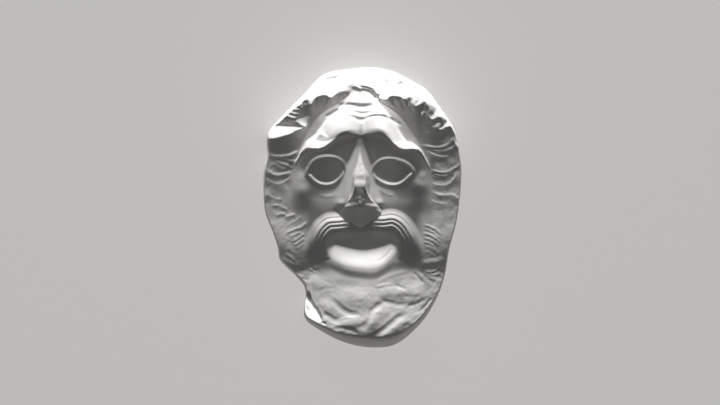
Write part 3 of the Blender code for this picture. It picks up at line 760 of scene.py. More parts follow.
@dataclass
class Moustache:
    """The moustache: a rolled crest round the sunk mouth, with strands combed in beside it."""

    left: Curve = (
        (-13, -5.5), (-24, -6.8), (-35, -8), (-42, -12), (-48, -18.5), (-52.5, -27), (-55.5, -36),
        (-57, -47), (-56, -58), (-51, -68),
    )
    right: Curve = (
        (9, -4.5), (20, -5.2), (27, -4.2), (34, -4.8), (41.5, -8.5), (47.5, -14), (52, -20.5),
        (56.5, -29), (59.5, -39), (60, -50), (57, -61), (50, -71),
    )
    basin: Curve = (
        (0, -2), (-24, -6.8), (-35, -8), (-42, -12), (-48, -18.5), (-52.5, -27), (-55.5, -36), (-57, -50),
        (-58, -70), (-58, -100), (0, -110), (60, -100), (61, -70), (60, -50), (59.5, -39), (56.5, -29),
        (52, -20.5), (47.5, -14), (41.5, -8.5), (34, -4.8), (20, -5.2),
    )
    basin_foot: Curve = (
        (-66, -53), (-57, -54), (-48, -55.5), (-38, -56.5), (-28, -59.5), (-18, -62), (-6, -63),
        (6, -63.5), (18, -62), (28, -59), (38, -55), (48, -53), (57, -52), (66, -51),
    )
    basin_depth: float = 3.6
    basin_slope: Point = (13.0, 29.0)
    floor_length: float = 22.0
    floor_extra: float = 12.0
    floor_ramp: Point = (42.0, 22.0)
    side_share: float = 0.62
    side_ramp: Point = (48.0, 26.0)
    height: float = 3.4
    nose_fade: Point = (0.0, 0.12)
    tip_fade: Point = (1.0, 0.45)
    margin: float = 4.0
    outer_slope: Point = (-3.5, 8.5)
    inner_slope: Point = (28.0, 15.5)
    strands: Pairs = ((7.0, 0.35), (10.8, 0.8), (14.9, 0.75), (18.6, 0.4))
    strand_width: float = 2.1
    strand_start: Point = (0.0, 0.1)
    strand_end: Point = (0.75, 0.3)
    groove_offset: float = 3.8
    groove_width: float = 1.1
    groove_depth: float = 0.25
    groove_end: Point = (0.6, 0.3)

    def carve(self, relief: Relief) -> None:
        """Carves both halves and the basin between them.

        Args:
            relief: the surface to carve.
        """
        zone = Line(self.basin, closed=True).zone(relief.x, relief.y, 2.0)
        x = relief.x[zone]
        y = relief.y[zone]
        depth = inside(self.basin, x, y)
        foot = Line(self.basin_foot).path
        over = y - np.interp(x, foot[:, 0], foot[:, 1])
        floor_slope = self.floor_length + self.floor_extra * ease(*self.floor_ramp, np.abs(x))
        sunk = self.basin_depth * ease(*self.basin_slope, depth) * ease(-1.0, floor_slope, over)
        to_middle = (1.0 - self.side_share) * ease(*self.side_ramp, np.abs(x))
        relief.z[zone] -= sunk * (self.side_share + to_middle)
        for points, hand in ((self.left, Hand.LEFT_OF_LINE), (self.right, Hand.RIGHT_OF_LINE)):
            line = Line(points)
            zone = line.zone(relief.x, relief.y, self.inner_slope[0] + self.margin)
            away, along = line.nearest(relief.x[zone], relief.y[zone])
            inward = away * hand.value
            fade = ease(*self.nose_fade, along) * ease(*self.tip_fade, along)
            roll = ease(*self.outer_slope, inward) * ease(*self.inner_slope, inward)
            comb = np.zeros_like(inward)
            for offset, height in self.strands:
                beside = (inward - offset) / self.strand_width
                comb += height * np.clip(1.0 - beside**2, 0.0, 1.0) ** 1.5
            comb *= ease(*self.strand_start, along) * ease(*self.strand_end, along)
            beside = (inward - self.groove_offset) / self.groove_width
            groove = self.groove_depth * np.clip(1.0 - beside**2, 0.0, 1.0)
            groove *= ease(*self.strand_start, along) * ease(*self.groove_end, along)
            relief.z[zone] += self.height * roll * fade + comb - groove


@dataclass
class Mouth:
    """The gaping mouth, a bowl that climbs steeply to the soft lower lip."""

    top: Curve = (
        (-44, -36), (-38, -35), (-34, -31), (-26, -27), (-12, -25), (0, -25.5), (12, -24), (23, -25.5),
        (30, -28), (35, -31), (38, -33), (44, -34),
    )
    lip: Curve = (
        (-44, -37), (-38.5, -42), (-35, -47), (-31, -51.5), (-27, -54), (-22, -56.2), (-15, -58.3),
        (-7, -59.8), (0, -60.5), (7, -61), (14, -60.5), (20, -58.3), (26, -54.6), (30.5, -50.5),
        (34, -45), (37, -39), (44, -35),
    )
    depth: float = 5.8
    full_span: float = 35.0
    corner_power: float = 2.4
    least_span: float = 0.5
    floor_edge: float = -0.06
    deepest: float = 0.5
    corner_rise: float = 0.12
    corner_span: float = 28.0
    corner_limit: float = 1.1
    upper_power: float = 1.3
    lip_height: float = 1.0
    lip_front: Point = (-9.0, 4.0)
    lip_under: Point = (12.0, 3.5)
    lip_ends: Point = (36.0, 12.0)
    line: Stroke = Stroke(((12, -55.5), (19, -52.5), (26, -46.5), (31, -39.5)), 1.8, -0.35)

    def carve(self, relief: Relief) -> None:
        """Hollows the mouth and leaves the lip.

        Args:
            relief: the surface to carve.
        """
        lip = table(relief.x, self.lip)
        span = np.maximum(table(relief.x, self.top) - lip, self.least_span)
        up = (relief.y - lip) / span
        out = np.clip(np.abs(relief.x) / self.corner_span, 0.0, self.corner_limit)
        deepest = self.deepest + self.corner_rise * out**2
        climb = ease(self.floor_edge, 1.0, up / deepest)
        roof = 1.0 - np.clip((up - deepest) / (1.0 - deepest), 0.0, 1.0) ** self.upper_power
        hollow = climb * roof * np.clip(span / self.full_span, 0.0, 1.0) ** self.corner_power
        relief.z -= self.depth * hollow
        below = lip - relief.y
        swell = ease(*self.lip_front, below) * ease(*self.lip_under, below)
        relief.z += self.lip_height * swell * ease(*self.lip_ends, np.abs(relief.x))
        relief.stroke(self.line)


@dataclass
class Hair:
    """The hair round the face: a bank with locks, tufts and a parted fringe."""

    valley: Curve = (
        (0, 117), (-13, 111.5), (-20, 107), (-27, 102.5), (-39, 95), (-53, 79.5), (-63, 57), (-70.5, 30),
        (-69, -8), (-61, -45), (-45, -62), (-15, -73), (20, -75), (50, -66), (62, -50), (70, -8),
        (69, 25), (63, 51), (52.5, 70), (39, 89.5), (28, 99), (20, 104.5), (12, 111.5),
    )
    crest: Curve = (
        (-9, 124.5), (-15, 122), (-17, 117), (-22, 116), (-27, 112), (-31, 109), (-34, 111), (-38, 112.5),
        (-44, 110.8), (-48, 107.5), (-51, 102.5), (-53, 106.5), (-57, 108), (-61, 107), (-62, 102),
        (-68, 100.8), (-65, 99.2), (-66, 97), (-71, 98), (-67, 95), (-67.5, 93), (-74, 95), (-67, 91.3),
        (-67.5, 89.3), (-76, 91), (-67, 86.5), (-62, 82.5), (-57, 80), (-60, 78), (-66, 76), (-70, 73.5),
        (-80, 70.5), (-88, 68.8), (-97, 68.5), (-103, 64), (-103, 30), (-100, 0), (-92, -25), (-62, -80),
        (-30, -105), (20, -110), (66, -85), (90, -35), (100, 15), (101, 50), (92, 66), (92, 79.5),
        (84, 80), (79, 77.5), (76, 79.5), (80, 83), (80, 88), (77, 90), (70, 87.5), (66.5, 91), (67, 97),
        (65.5, 102), (63, 105.5), (59, 104), (54, 100.5), (52.5, 103), (54, 109.5), (51, 111.5),
        (46, 110.5), (42, 108), (39, 110), (33, 111.5), (27, 110), (25, 107), (19, 107), (15, 113),
        (12, 117), (7, 120), (0, 122.5),
    )
    lift: Pairs = (
        (140, 0), (124, 0.5), (118, 3.5), (112, 8.5), (104, 11), (90, 9.5), (80, 8), (70, 6.2), (60, 5.6),
        (30, 5), (0, 4.0), (-30, 3), (-60, 0), (-140, 0),
    )
    lift_sag: float = 0.25
    bevel: float = 0.8
    bevel_reach: float = 14.0
    bevel_ramp: Point = (50.0, 66.0)
    jowl_middle: float = 1.5
    jowl_ramp: Point = (51.0, 61.0)
    lock_gain: float = 0.5
    fringe_gain: float = 1.0
    jowls: Pairs = (
        (140, -1.6), (60, -1.6), (45, -1.1), (20, -0.2), (8, 0.3), (-5, 1.0), (-20, 2.4), (-35, 4.1),
        (-50, 5.5), (-57, 5.6), (-63, 4.9), (-75, 4.4), (-90, 3.6), (-110, 2.4), (-140, 0.8),
    )
    left_locks: tuple[Lock, ...] = (
        Lock(
            ((-98, 70), (-93, 68.5), (-86, 69), (-78, 71), (-71, 73), (-65, 75.5), (-56, 79.5)),
            4.2, 10.0, 20.0, 0.1, 0.1, 0.5,
        ),
        Lock(((-81, 89.5), (-73, 85.5), (-63, 83.5)), 5.0, 1.8, 4.2, 0.1, 0.15, 0.3),
        Lock(((-77, 93), (-70, 88.8), (-62, 87.5)), 2.8, 2.2, 3.2, 0.1, 0.15, 0.35),
        Lock(((-74, 97), (-68, 93), (-61, 92)), 2.6, 2.2, 3.2, 0.1, 0.15, 0.35),
        Lock(((-71, 100.5), (-66, 97), (-60, 96.5)), 2.4, 2.0, 3.0, 0.1, 0.15, 0.35),
        Lock(((-69, 104), (-64, 101), (-59, 101)), 2.2, 2.0, 3.0, 0.1, 0.15, 0.35),
        Lock(((-97, 65), (-90, 61.5), (-82, 61), (-73, 64), (-65, 70)), 2.4, 3.6, 6.0, 0.15),
        Lock(((-96, 56), (-89, 51), (-80, 50), (-71, 51.5), (-62, 57)), 1.4, 3.0, 5.0),
        Lock(((-95, 54), (-88, 49), (-79, 47.5), (-71, 46), (-64, 45)), 0.9, 2.0, 4.0),
        Lock(((-92, 50), (-86, 45.5), (-78, 42.5), (-71, 40)), 0.8, 2.0, 4.0),
        Lock(((-91, 46), (-84, 40.5), (-77, 37.5), (-71, 36)), 0.55, 2.0, 4.0),
        Lock(((-98, 40), (-93, 34.5), (-86, 31.5), (-79, 32.5), (-70, 34.5)), 1.0, 2.3, 5.0),
        Lock(((-98, 29), (-91, 24), (-84, 22.5), (-77, 25), (-69, 31.5)), 0.5, 2.2, 6.0),
        Lock(((-98, 17), (-94, 11.5), (-87, 8), (-79, 7)), 0.5, 2.6, 7.0),
    )
    right_locks: tuple[Lock, ...] = (
        Lock(((68, 99), (72, 93), (78, 89.5), (82, 91)), 1.3, 5.0, 5.0, 0.25),
        Lock(((61, 83), (67, 80), (73, 79), (79, 81.5)), 0.7, 2.0, 3.2),
        Lock(((66, 77.5), (73, 74.5), (80, 77), (86, 81), (92, 82.5)), 0.9, 2.2, 4.0),
        Lock(((60, 77), (66, 73.5), (74, 69.5), (83, 68.8)), 0.5, 2.0, 4.5),
        Lock(((61, 71), (70, 66), (80, 64.5), (89, 67)), 0.35, 2.0, 4.5),
        Lock(((58, 61.5), (66, 60), (76, 59), (84, 61), (92, 67), (97, 68)), 1.2, 2.4, 3.4),
        Lock(((62, 60), (70, 57), (79, 55.6), (88, 57.5), (97, 63)), 0.9, 2.0, 4.0),
        Lock(((62, 58.5), (70, 52.8), (79, 49.8), (89, 50.5)), 0.7, 2.0, 5.0),
        Lock(((68, 38), (76, 34.5), (85, 34.5), (93, 38.5), (100, 43.5)), 1.1, 2.0, 2.8),
        Lock(((67, 35), (76, 31.5), (85, 31.5), (93, 36)), 0.8, 1.8, 2.8),
        Lock(((68, 31.5), (77, 29), (86, 30.5)), 0.5, 1.8, 3.2),
        Lock(((68, 24.5), (76, 21.5), (85, 22), (92, 27.5), (97, 38)), 0.8, 2.0, 5.0),
        Lock(((67, 17), (74, 12.8), (82, 11.2), (90, 11.8), (96, 8), (99, 1)), 0.9, 2.2, 6.0),
        Lock(((66, 8), (75, 3.5), (85, 3)), 0.3, 2.2, 7.0),
    )
    left_tufts: tuple[Lock, ...] = (
        Lock(((-93, 0), (-87, 1.5), (-80, -0.5), (-73, -4)), 0.6, 2.2, 4.0),
        Lock(((-87, -9), (-81, -7), (-76, -8)), 0.7, 2.0, 3.0),
        Lock(((-78, -11), (-72, -9), (-66, -7.5)), 0.7, 2.2, 3.5),
        Lock(((-80, -29), (-74, -25.5), (-67, -22.5), (-60, -20), (-54, -14)), 0.75, 2.2, 3.0),
        Lock(((-78, -22), (-72, -17), (-66, -14), (-59, -8)), 0.35, 2.2, 4.0),
        Lock(((-74, -31), (-67, -27.5), (-60, -25)), 0.45, 2.0, 3.0),
        Lock(((-70, -35), (-64, -31.5), (-57, -26)), 0.6, 1.8, 2.6),
        Lock(((-69, -39), (-63, -35.5), (-57, -31)), 0.55, 1.8, 2.6),
        Lock(((-67, -43), (-62, -39.5), (-57, -36)), 0.35, 1.8, 2.6),
        Lock(((-78, -46), (-73, -49.5), (-66, -56)), 0.7, 2.5, 3.0),
        Lock(((-86, -50), (-80, -53), (-72, -57), (-62, -60)), 0.7, 5.0, 8.0),
    )
    right_tufts: tuple[Lock, ...] = (
        Lock(((60, -17.5), (67, -19.5), (74, -23), (80, -29)), 0.7, 1.8, 2.6),
        Lock(((60, -21.5), (66, -23), (73, -27), (79, -33)), 0.55, 1.8, 2.6),
        Lock(((59, -26), (65, -27), (72, -30), (79, -37)), 0.85, 1.8, 3.2),
        Lock(((60, -30.5), (66, -32), (72, -34.5), (78, -40)), 0.7, 1.8, 2.8),
        Lock(((60, -35), (66, -36), (72, -39)), 0.5, 1.8, 2.6),
        Lock(((61, -39), (67, -40.5), (73, -44), (78, -49)), 0.4, 1.8, 2.8),
        Lock(((62, -44), (68, -46), (74, -50)), 0.3, 1.8, 3.0),
        Lock(((58, -58.5), (64, -57.5), (70, -56.5), (77, -55), (84, -51)), 1.3, 5.0, 3.0, 0.05),
        Lock(((61, -62.5), (67, -65), (73, -63.8), (78, -61.5), (84, -66)), 0.7, 1.8, 2.4),
        Lock(((65, -66.5), (71, -68), (77, -67), (83, -71)), 0.6, 1.6, 2.2),
        Lock(((66, -70), (72, -72), (80, -74.5)), 0.5, 1.6, 2.4),
    )
    fringe: tuple[Lock, ...] = (
        Lock(((-17, 121), (-12.5, 124.5), (-7, 123.5)), 1.4, 2.4, 5.0, 0.0),
        Lock(((-9, 123), (-4.5, 119.5), (0, 116.8)), 2.6, 1.8, 3.4, 0.0),
        Lock(((-2, 121.8), (6, 120.3), (15, 117.6)), 2.4, 1.8, 2.4, 0.0),
        Lock(((-2, 118.6), (5, 117.6), (13, 115.6)), 1.8, 1.4, 2.4, 0.0),
    )
    partings: tuple[Stroke, ...] = (
        Stroke(((-60.5, 109), (-61.5, 106), (-60, 99)), 1.6, -1.8),
        Stroke(((-56, 110), (-57.5, 104), (-57, 96)), 1.8, -0.9),
        Stroke(((-44, 113), (-46, 107), (-47, 98)), 2.2, -0.9),
        Stroke(((-33, 115), (-35, 109), (-37, 101)), 2.2, -1.0),
        Stroke(((-29, 114), (-31, 108), (-33, 102)), 1.8, -0.7),
        Stroke(((-20, 117.5), (-24, 111), (-28, 105)), 2.2, -0.6),
        Stroke(((28, 113), (31, 107), (33, 100)), 2.0, -0.8),
        Stroke(((37, 112), (39, 106), (42, 98)), 2.2, -1.0),
        Stroke(((46, 112), (47, 105), (50, 94)), 2.2, -1.0),
        Stroke(((54, 112), (54, 105), (56, 96)), 2.0, -1.1),
        Stroke(((62, 108), (61, 102), (59, 92)), 2.0, -1.0),
        Stroke(((66, 102), (65, 95), (62, 86)), 2.0, -0.8),
    )
    drilled: tuple[Bump, ...] = (
        Bump((15.5, 110), (3.6, 2.4), -2.4, 25, 0.7),
        Bump((23.5, 105.7), (3.6, 1.2), -1.8, 0, 0.7),
        Bump((24, 115.2), (3.4, 1.4), -1.4, 0, 0.7),
        Bump((-61, 106.5), (1.4, 1.6), -1.4, 0, 0.7),
        Bump((53.5, 109.5), (1.8, 2.4), -1.8, 0, 0.7),
    )

    def bank(self, relief: Relief) -> None:
        """Raises the bank of hair from its valley to its crest.

        Args:
            relief: the surface to carve.
        """
        out = np.clip(-inside(self.valley, relief.x, relief.y), 0.0, None)
        from_crest = inside(self.crest, relief.x, relief.y)
        to_crest = np.clip(from_crest, 0.0, None)
        beyond = np.clip(-from_crest, 0.0, self.bevel_reach)
        share = out / (out + to_crest + 1e-6)
        relief.z += table(relief.y, self.lift) * share * (1.0 - self.lift_sag * (1.0 - share))
        relief.z -= self.bevel * beyond * ease(*self.bevel_ramp, relief.y)
        out = np.abs(relief.x - self.jowl_middle)
        relief.z += table(relief.y, self.jowls) * ease(*self.jowl_ramp, out)

    def carve(self, relief: Relief) -> None:
        """Carves the locks, the fringe and the drilled holes.

        Args:
            relief: the surface to carve.
        """
        locks = self.left_locks + self.right_locks + self.left_tufts + self.right_tufts
        relief.locks(locks, self.lock_gain)
        relief.locks(self.fringe, self.fringe_gain)
        for parting in self.partings:
            relief.stroke(parting)
        for hole in self.drilled:
            relief.bump(hole)

    def unevenness(self, relief: Relief) -> None:
        """Gives hair and beard the slight unevenness of worn stone, and leaves the skin smoother.

        Args:
            relief: the surface to carve.
        """
        off_face = ease(2.0, -6.0, inside(self.valley, relief.x, relief.y))
        coarse = 0.3 * rough(relief.x, relief.y, 8.0, 21.0) + 0.12 * rough(relief.x, relief.y, 3.2, 22.0)
        relief.z += 0.8 * off_face * coarse + 0.15 * rough(relief.x, relief.y, 12.0, 23.0)


@dataclass
class Beard:
    """The broad, flat locks of the beard."""

    mounds: tuple[Bump, ...] = (
        Bump((-6, -92), (28, 14), 0.9),
        Bump((-33, -100), (14, 9), 0.8, -30),
        Bump((-12, -116), (17, 8), 1.1, 15),
        Bump((50, -86), (20, 14), 1.0, -20),
        Bump((-45, -76), (12, 9), 0.6),
        Bump((30, -86), (18, 9), 0.7),
    )
    strokes: tuple[Stroke, ...] = (
        Stroke(((27, -98), (18, -106), (9, -114), (-1, -122)), 9.5, 0.82, 0.35),
        Stroke(((54, -111), (44, -114), (35, -120), (25, -128), (14, -134.5)), 8.0, 0.75, 0.3),
        Stroke(((-29, -91), (-25, -97), (-18, -103.5), (-9, -107), (0, -107)), 4.5, -0.54),
        Stroke(((-40, -105.5), (-33, -109.5), (-27, -113), (-20, -112)), 4.5, -0.66),
        Stroke(((-27, -116), (-19, -111), (-9, -109.6), (0, -108.8)), 2.0, 0.19),
        Stroke(((23, -92), (17, -98), (10, -104), (8, -110.5), (3, -118), (-4, -121)), 4.2, -0.6),
        Stroke(((46, -106.5), (37, -110), (29, -116.5), (21, -123), (11, -128.5), (2, -131)), 4.8, -0.75),
        Stroke(((18, -93), (26, -95.5), (36, -97.5), (45, -96.5)), 4.0, -0.43),
        Stroke(((32, -77), (38, -80), (46, -82.5)), 2.6, -0.38),
        Stroke(((12, -80), (21, -78), (31, -76.8)), 2.2, 0.22),
        Stroke(((13, -75.5), (22, -71.5), (31, -67.5), (41, -65), (49, -63.5)), 3.2, 0.16),
        Stroke(((51, -64.5), (56, -70.5), (62, -77.5)), 2.2, -0.33),
        Stroke(((55, -62), (60, -66), (66, -72), (74, -77)), 2.0, -0.22),
        Stroke(((-44, -84), (-34, -81), (-22, -83)), 3.0, -0.16),
        Stroke(((40, -88), (50, -90), (60, -88)), 3.0, -0.22),
        Stroke(((44, -99), (54, -97), (64, -91)), 2.8, -0.33),
        Stroke(((58, -104), (64, -98), (70, -90)), 2.2, -0.38),
        Stroke(((-30, -122), (-20, -120.5), (-10, -123), (-2, -127)), 3.2, -0.43),
    )

    def carve(self, relief: Relief) -> None:
        """Carves the beard.

        Args:
            relief: the surface to carve.
        """
        for mound in self.mounds:
            relief.bump(mound)
        for stroke in self.strokes:
            relief.stroke(stroke)


@dataclass
class Damage:
    """What time has done: the broken corner at the lower left, chips in the hair and crumbling edges."""

    corner: Curve = (
        (-60, -86), (-65, -106), (-52, -117), (-41, -113), (-44.5, -103), (-48.5, -98), (-54, -88.5),
    )
    corner_level: float = 51.5
    corner_slope: float = 0.62
    corner_middle: float = -100.0
    chips: tuple[Bump, ...] = (
        Bump((-54.8, -102.5), (2.2, 3.4), -1.6, 30, 0.7),
        Bump((-38, -116), (3.0, 1.6), -0.8, -30, 0.7),
        Bump((-30, 128.5), (6.5, 2.4), -6.0, 8, 0.7),
        Bump((-23, 130.8), (4.0, 1.6), -3.0, 14, 0.7),
        Bump((38.5, 123.2), (3.4, 2.0), -5.4, 20, 0.7),
        Bump((42.5, 126.5), (2.4, 1.6), -4.2, 50, 0.7),
        Bump((62, 114.2), (3.2, 2.8), -5.6, 0, 0.7),
        Bump((65.2, 110.2), (2.0, 2.0), -4.0, 0, 0.7),
    )
    crumbled: Bump = Bump((-47, -62), (7, 4), 0.45, 0.0, 0.8)

    def carve(self, relief: Relief) -> None:
        """Breaks the stone.

        Args:
            relief: the carved surface.
        """
        plane = self.corner_level - self.corner_slope * (relief.y - self.corner_middle)
        plane += 0.35 * rough(relief.x, relief.y, 4.0, 31.0)
        broken = ease(-1.5, 1.2, inside(self.corner, relief.x, relief.y))
        relief.z = relief.z * (1.0 - broken) + np.minimum(relief.z, plane) * broken
        for chip in self.chips:
            relief.bump(chip)
        relief.z += self.crumbled.height * relief.oval(self.crumbled) * rough(relief.x, relief.y, 2.8, 32.0)
        edge = ease(0.84, 0.94, relief.share) * ease(-40.0, -70.0, relief.y) * (relief.share < 0.985)
        crumb = 0.25 * rough(relief.x, relief.y, 5.0, 33.0) + 0.12 * rough(relief.x, relief.y, 2.4, 34.0)
        relief.z += edge * crumb


@dataclass
class TheatreMask:
    """The whole mask: a bearded old man of the stage, carved from one block."""

    name: str = "carved_mask"
    cells: int = 128
    rim_rings: int = 4
    front_share: float = 0.447
    wall_share: float = 0.9
    plain_radius: float = 115.0
    plain_wall: float = 156.0
    plain_top: float = 60.0
    wall_weight: float = 0.4
    back_evenness: float = 0.8
    shell: Shell = field(default_factory=Shell)
    brows: Brows = field(default_factory=Brows)
    eyes: tuple[Eye, Eye] = (LEFT_EYE, RIGHT_EYE)
    nose: Nose = field(default_factory=Nose)
    cheeks: Cheeks = field(default_factory=Cheeks)
    moustache: Moustache = field(default_factory=Moustache)
    mouth: Mouth = field(default_factory=Mouth)
    hair: Hair = field(default_factory=Hair)
    beard: Beard = field(default_factory=Beard)
    damage: Damage = field(default_factory=Damage)

    def front(self, x: Array, y: Array, share: Array) -> Array:
        """Carves the front.

        Args:
            x: places across the face.
            y: places up the face.
            share: how far out to the outline each place lies.

        Returns:
            Heights over the rim plane.
        """
        relief = Relief(x, y, share)
        self.shell.ground(relief)
        self.hair.bank(relief)
        self.cheeks.carve(relief)
        self.brows.carve(relief)
        for eye in self.eyes:
            eye.carve(relief)
        self.nose.carve(relief)
        self.moustache.carve(relief)
        self.mouth.carve(relief)
        self.hair.carve(relief)
        self.beard.carve(relief)
        self.hair.unevenness(relief)
        self.shell.walls(relief)
        self.damage.carve(relief)
        return np.where(share > 0.99999, 0.0, np.clip(relief.z, 0.0, None))

    def spread(self) -> tuple[Array, Array]:
        """Spaces the rows of the outer front evenly over a plain dome.

        Returns:
            Shares of the run from the front face's edge to the rim, and the shares of the way out there.
        """
        share = 1.0 - np.linspace(1.0, 0.0, 4001) ** 2 * (1.0 - self.front_share)
        rise = np.minimum(self.plain_wall * np.sqrt(1.0 - share**2), self.plain_top)
        steps = np.hypot(np.diff(share) * self.plain_radius, self.wall_weight * np.diff(rise))
        run = np.concatenate([[0.0], np.cumsum(steps)])
        return run / run[-1], share

    @staticmethod
    def turned(across: Array, up: Array) -> tuple[Array, Array]:
        """Turns the points of a square into evenly spread directions and distances.

        Args:
            across: places across the square, -1 to 1.
            up: places up the square, -1 to 1.

        Returns:
            The direction of each point and its share of the way out.
        """
        reach = np.maximum(np.abs(across), np.abs(up))
        safe = np.where(reach < 1e-9, 1.0, reach)
        wide = np.abs(across) >= np.abs(up)
        quarter = math.pi / 4.0
        flat = quarter * up / safe * np.sign(np.where(across == 0, 1.0, across))
        steep = quarter * across / safe * np.sign(np.where(up == 0, 1.0, up))
        angle_wide = np.where(across >= 0, flat, math.pi + flat)
        angle_steep = np.where(up >= 0, math.pi / 2.0 - steep, -math.pi / 2.0 - steep)
        return np.where(wide, angle_wide, angle_steep), reach

    def shape(self, corners: Array) -> Array:
        """Moves the corners of the subdivided blank onto the mask.

        Args:
            corners: corners of a cube 2 along each edge, one row each.

        Returns:
            Their places on the mask, in millimetres.
        """
        across, up, out = corners.T
        face = out > 1.0 - 1e-6
        back = out < -1.0 + 1e-6
        angle, reach = self.turned(across, up)
        run, spread = self.spread()
        share = np.interp(np.clip((1.0 - out) / 2.0, 0.0, 1.0), run, spread)
        share[face] = reach[face] * self.front_share
        ring = 2.0 * self.rim_rings / self.cells
        in_rim = reach > 1.0 - ring - 1e-6
        hollow = self.shell.rim_share * np.sin(reach / (1.0 - ring) * math.pi / 2.0) ** self.back_evenness
        rim = 1.0 - (1.0 - reach) / ring * (1.0 - self.shell.rim_share)
        back_share = np.where(in_rim, rim, np.minimum(hollow, self.shell.rim_share))
        share[back] = back_share[back]
        radius = self.shell.radius(angle) * share
        x = radius * np.cos(angle)
        y = radius * np.sin(angle)
        z = np.zeros_like(x)
        front = ~back
        z[front] = self.front(x[front], y[front], share[front])
        inner = back & ~in_rim
        z[inner] = self.shell.hollow(x[inner], y[inner], share[inner])
        cut = np.where(front & (share > self.wall_share), self.shell.fluting(angle, z), 0.0)
        x -= cut * np.cos(angle)
        y -= cut * np.sin(angle)
        return np.stack([x, y, z], axis=1)

    def build(self, box: tuple[Vector, Vector]) -> bpy.types.Object:
        """Builds the mask as one closed mesh inside the given box.

        Args:
            box: the lowest and highest corners that the mask has to keep to, in metres.

        Returns:
            The finished piece.
        """
        blank = bmesh.new()
        bmesh.ops.create_cube(blank, size=2.0)
        bmesh.ops.subdivide_edges(blank, edges=blank.edges[:], cuts=self.cells - 1, use_grid_fill=True)
        corners = np.array([corner.co[:] for corner in blank.verts])
        placed = self.shape(corners) * MM
        low = np.array(box[0])
        high = np.array(box[1])
        middle = (placed.max(axis=0) + placed.min(axis=0)) / 2.0
        placed[:, :2] += ((low + high) / 2.0 - middle)[:2]
        placed = np.clip(placed, low, high)
        for corner, place in zip(blank.verts, placed):
            corner.co = Vector(place)
        bmesh.ops.triangulate(blank, faces=blank.faces[:])
        bmesh.ops.recalc_face_normals(blank, faces=blank.faces[:])
        mesh = bpy.data.meshes.new(self.name)
        blank.to_mesh(mesh)
        blank.free()
        mesh.shade_smooth()
        return stand(self.name, mesh)


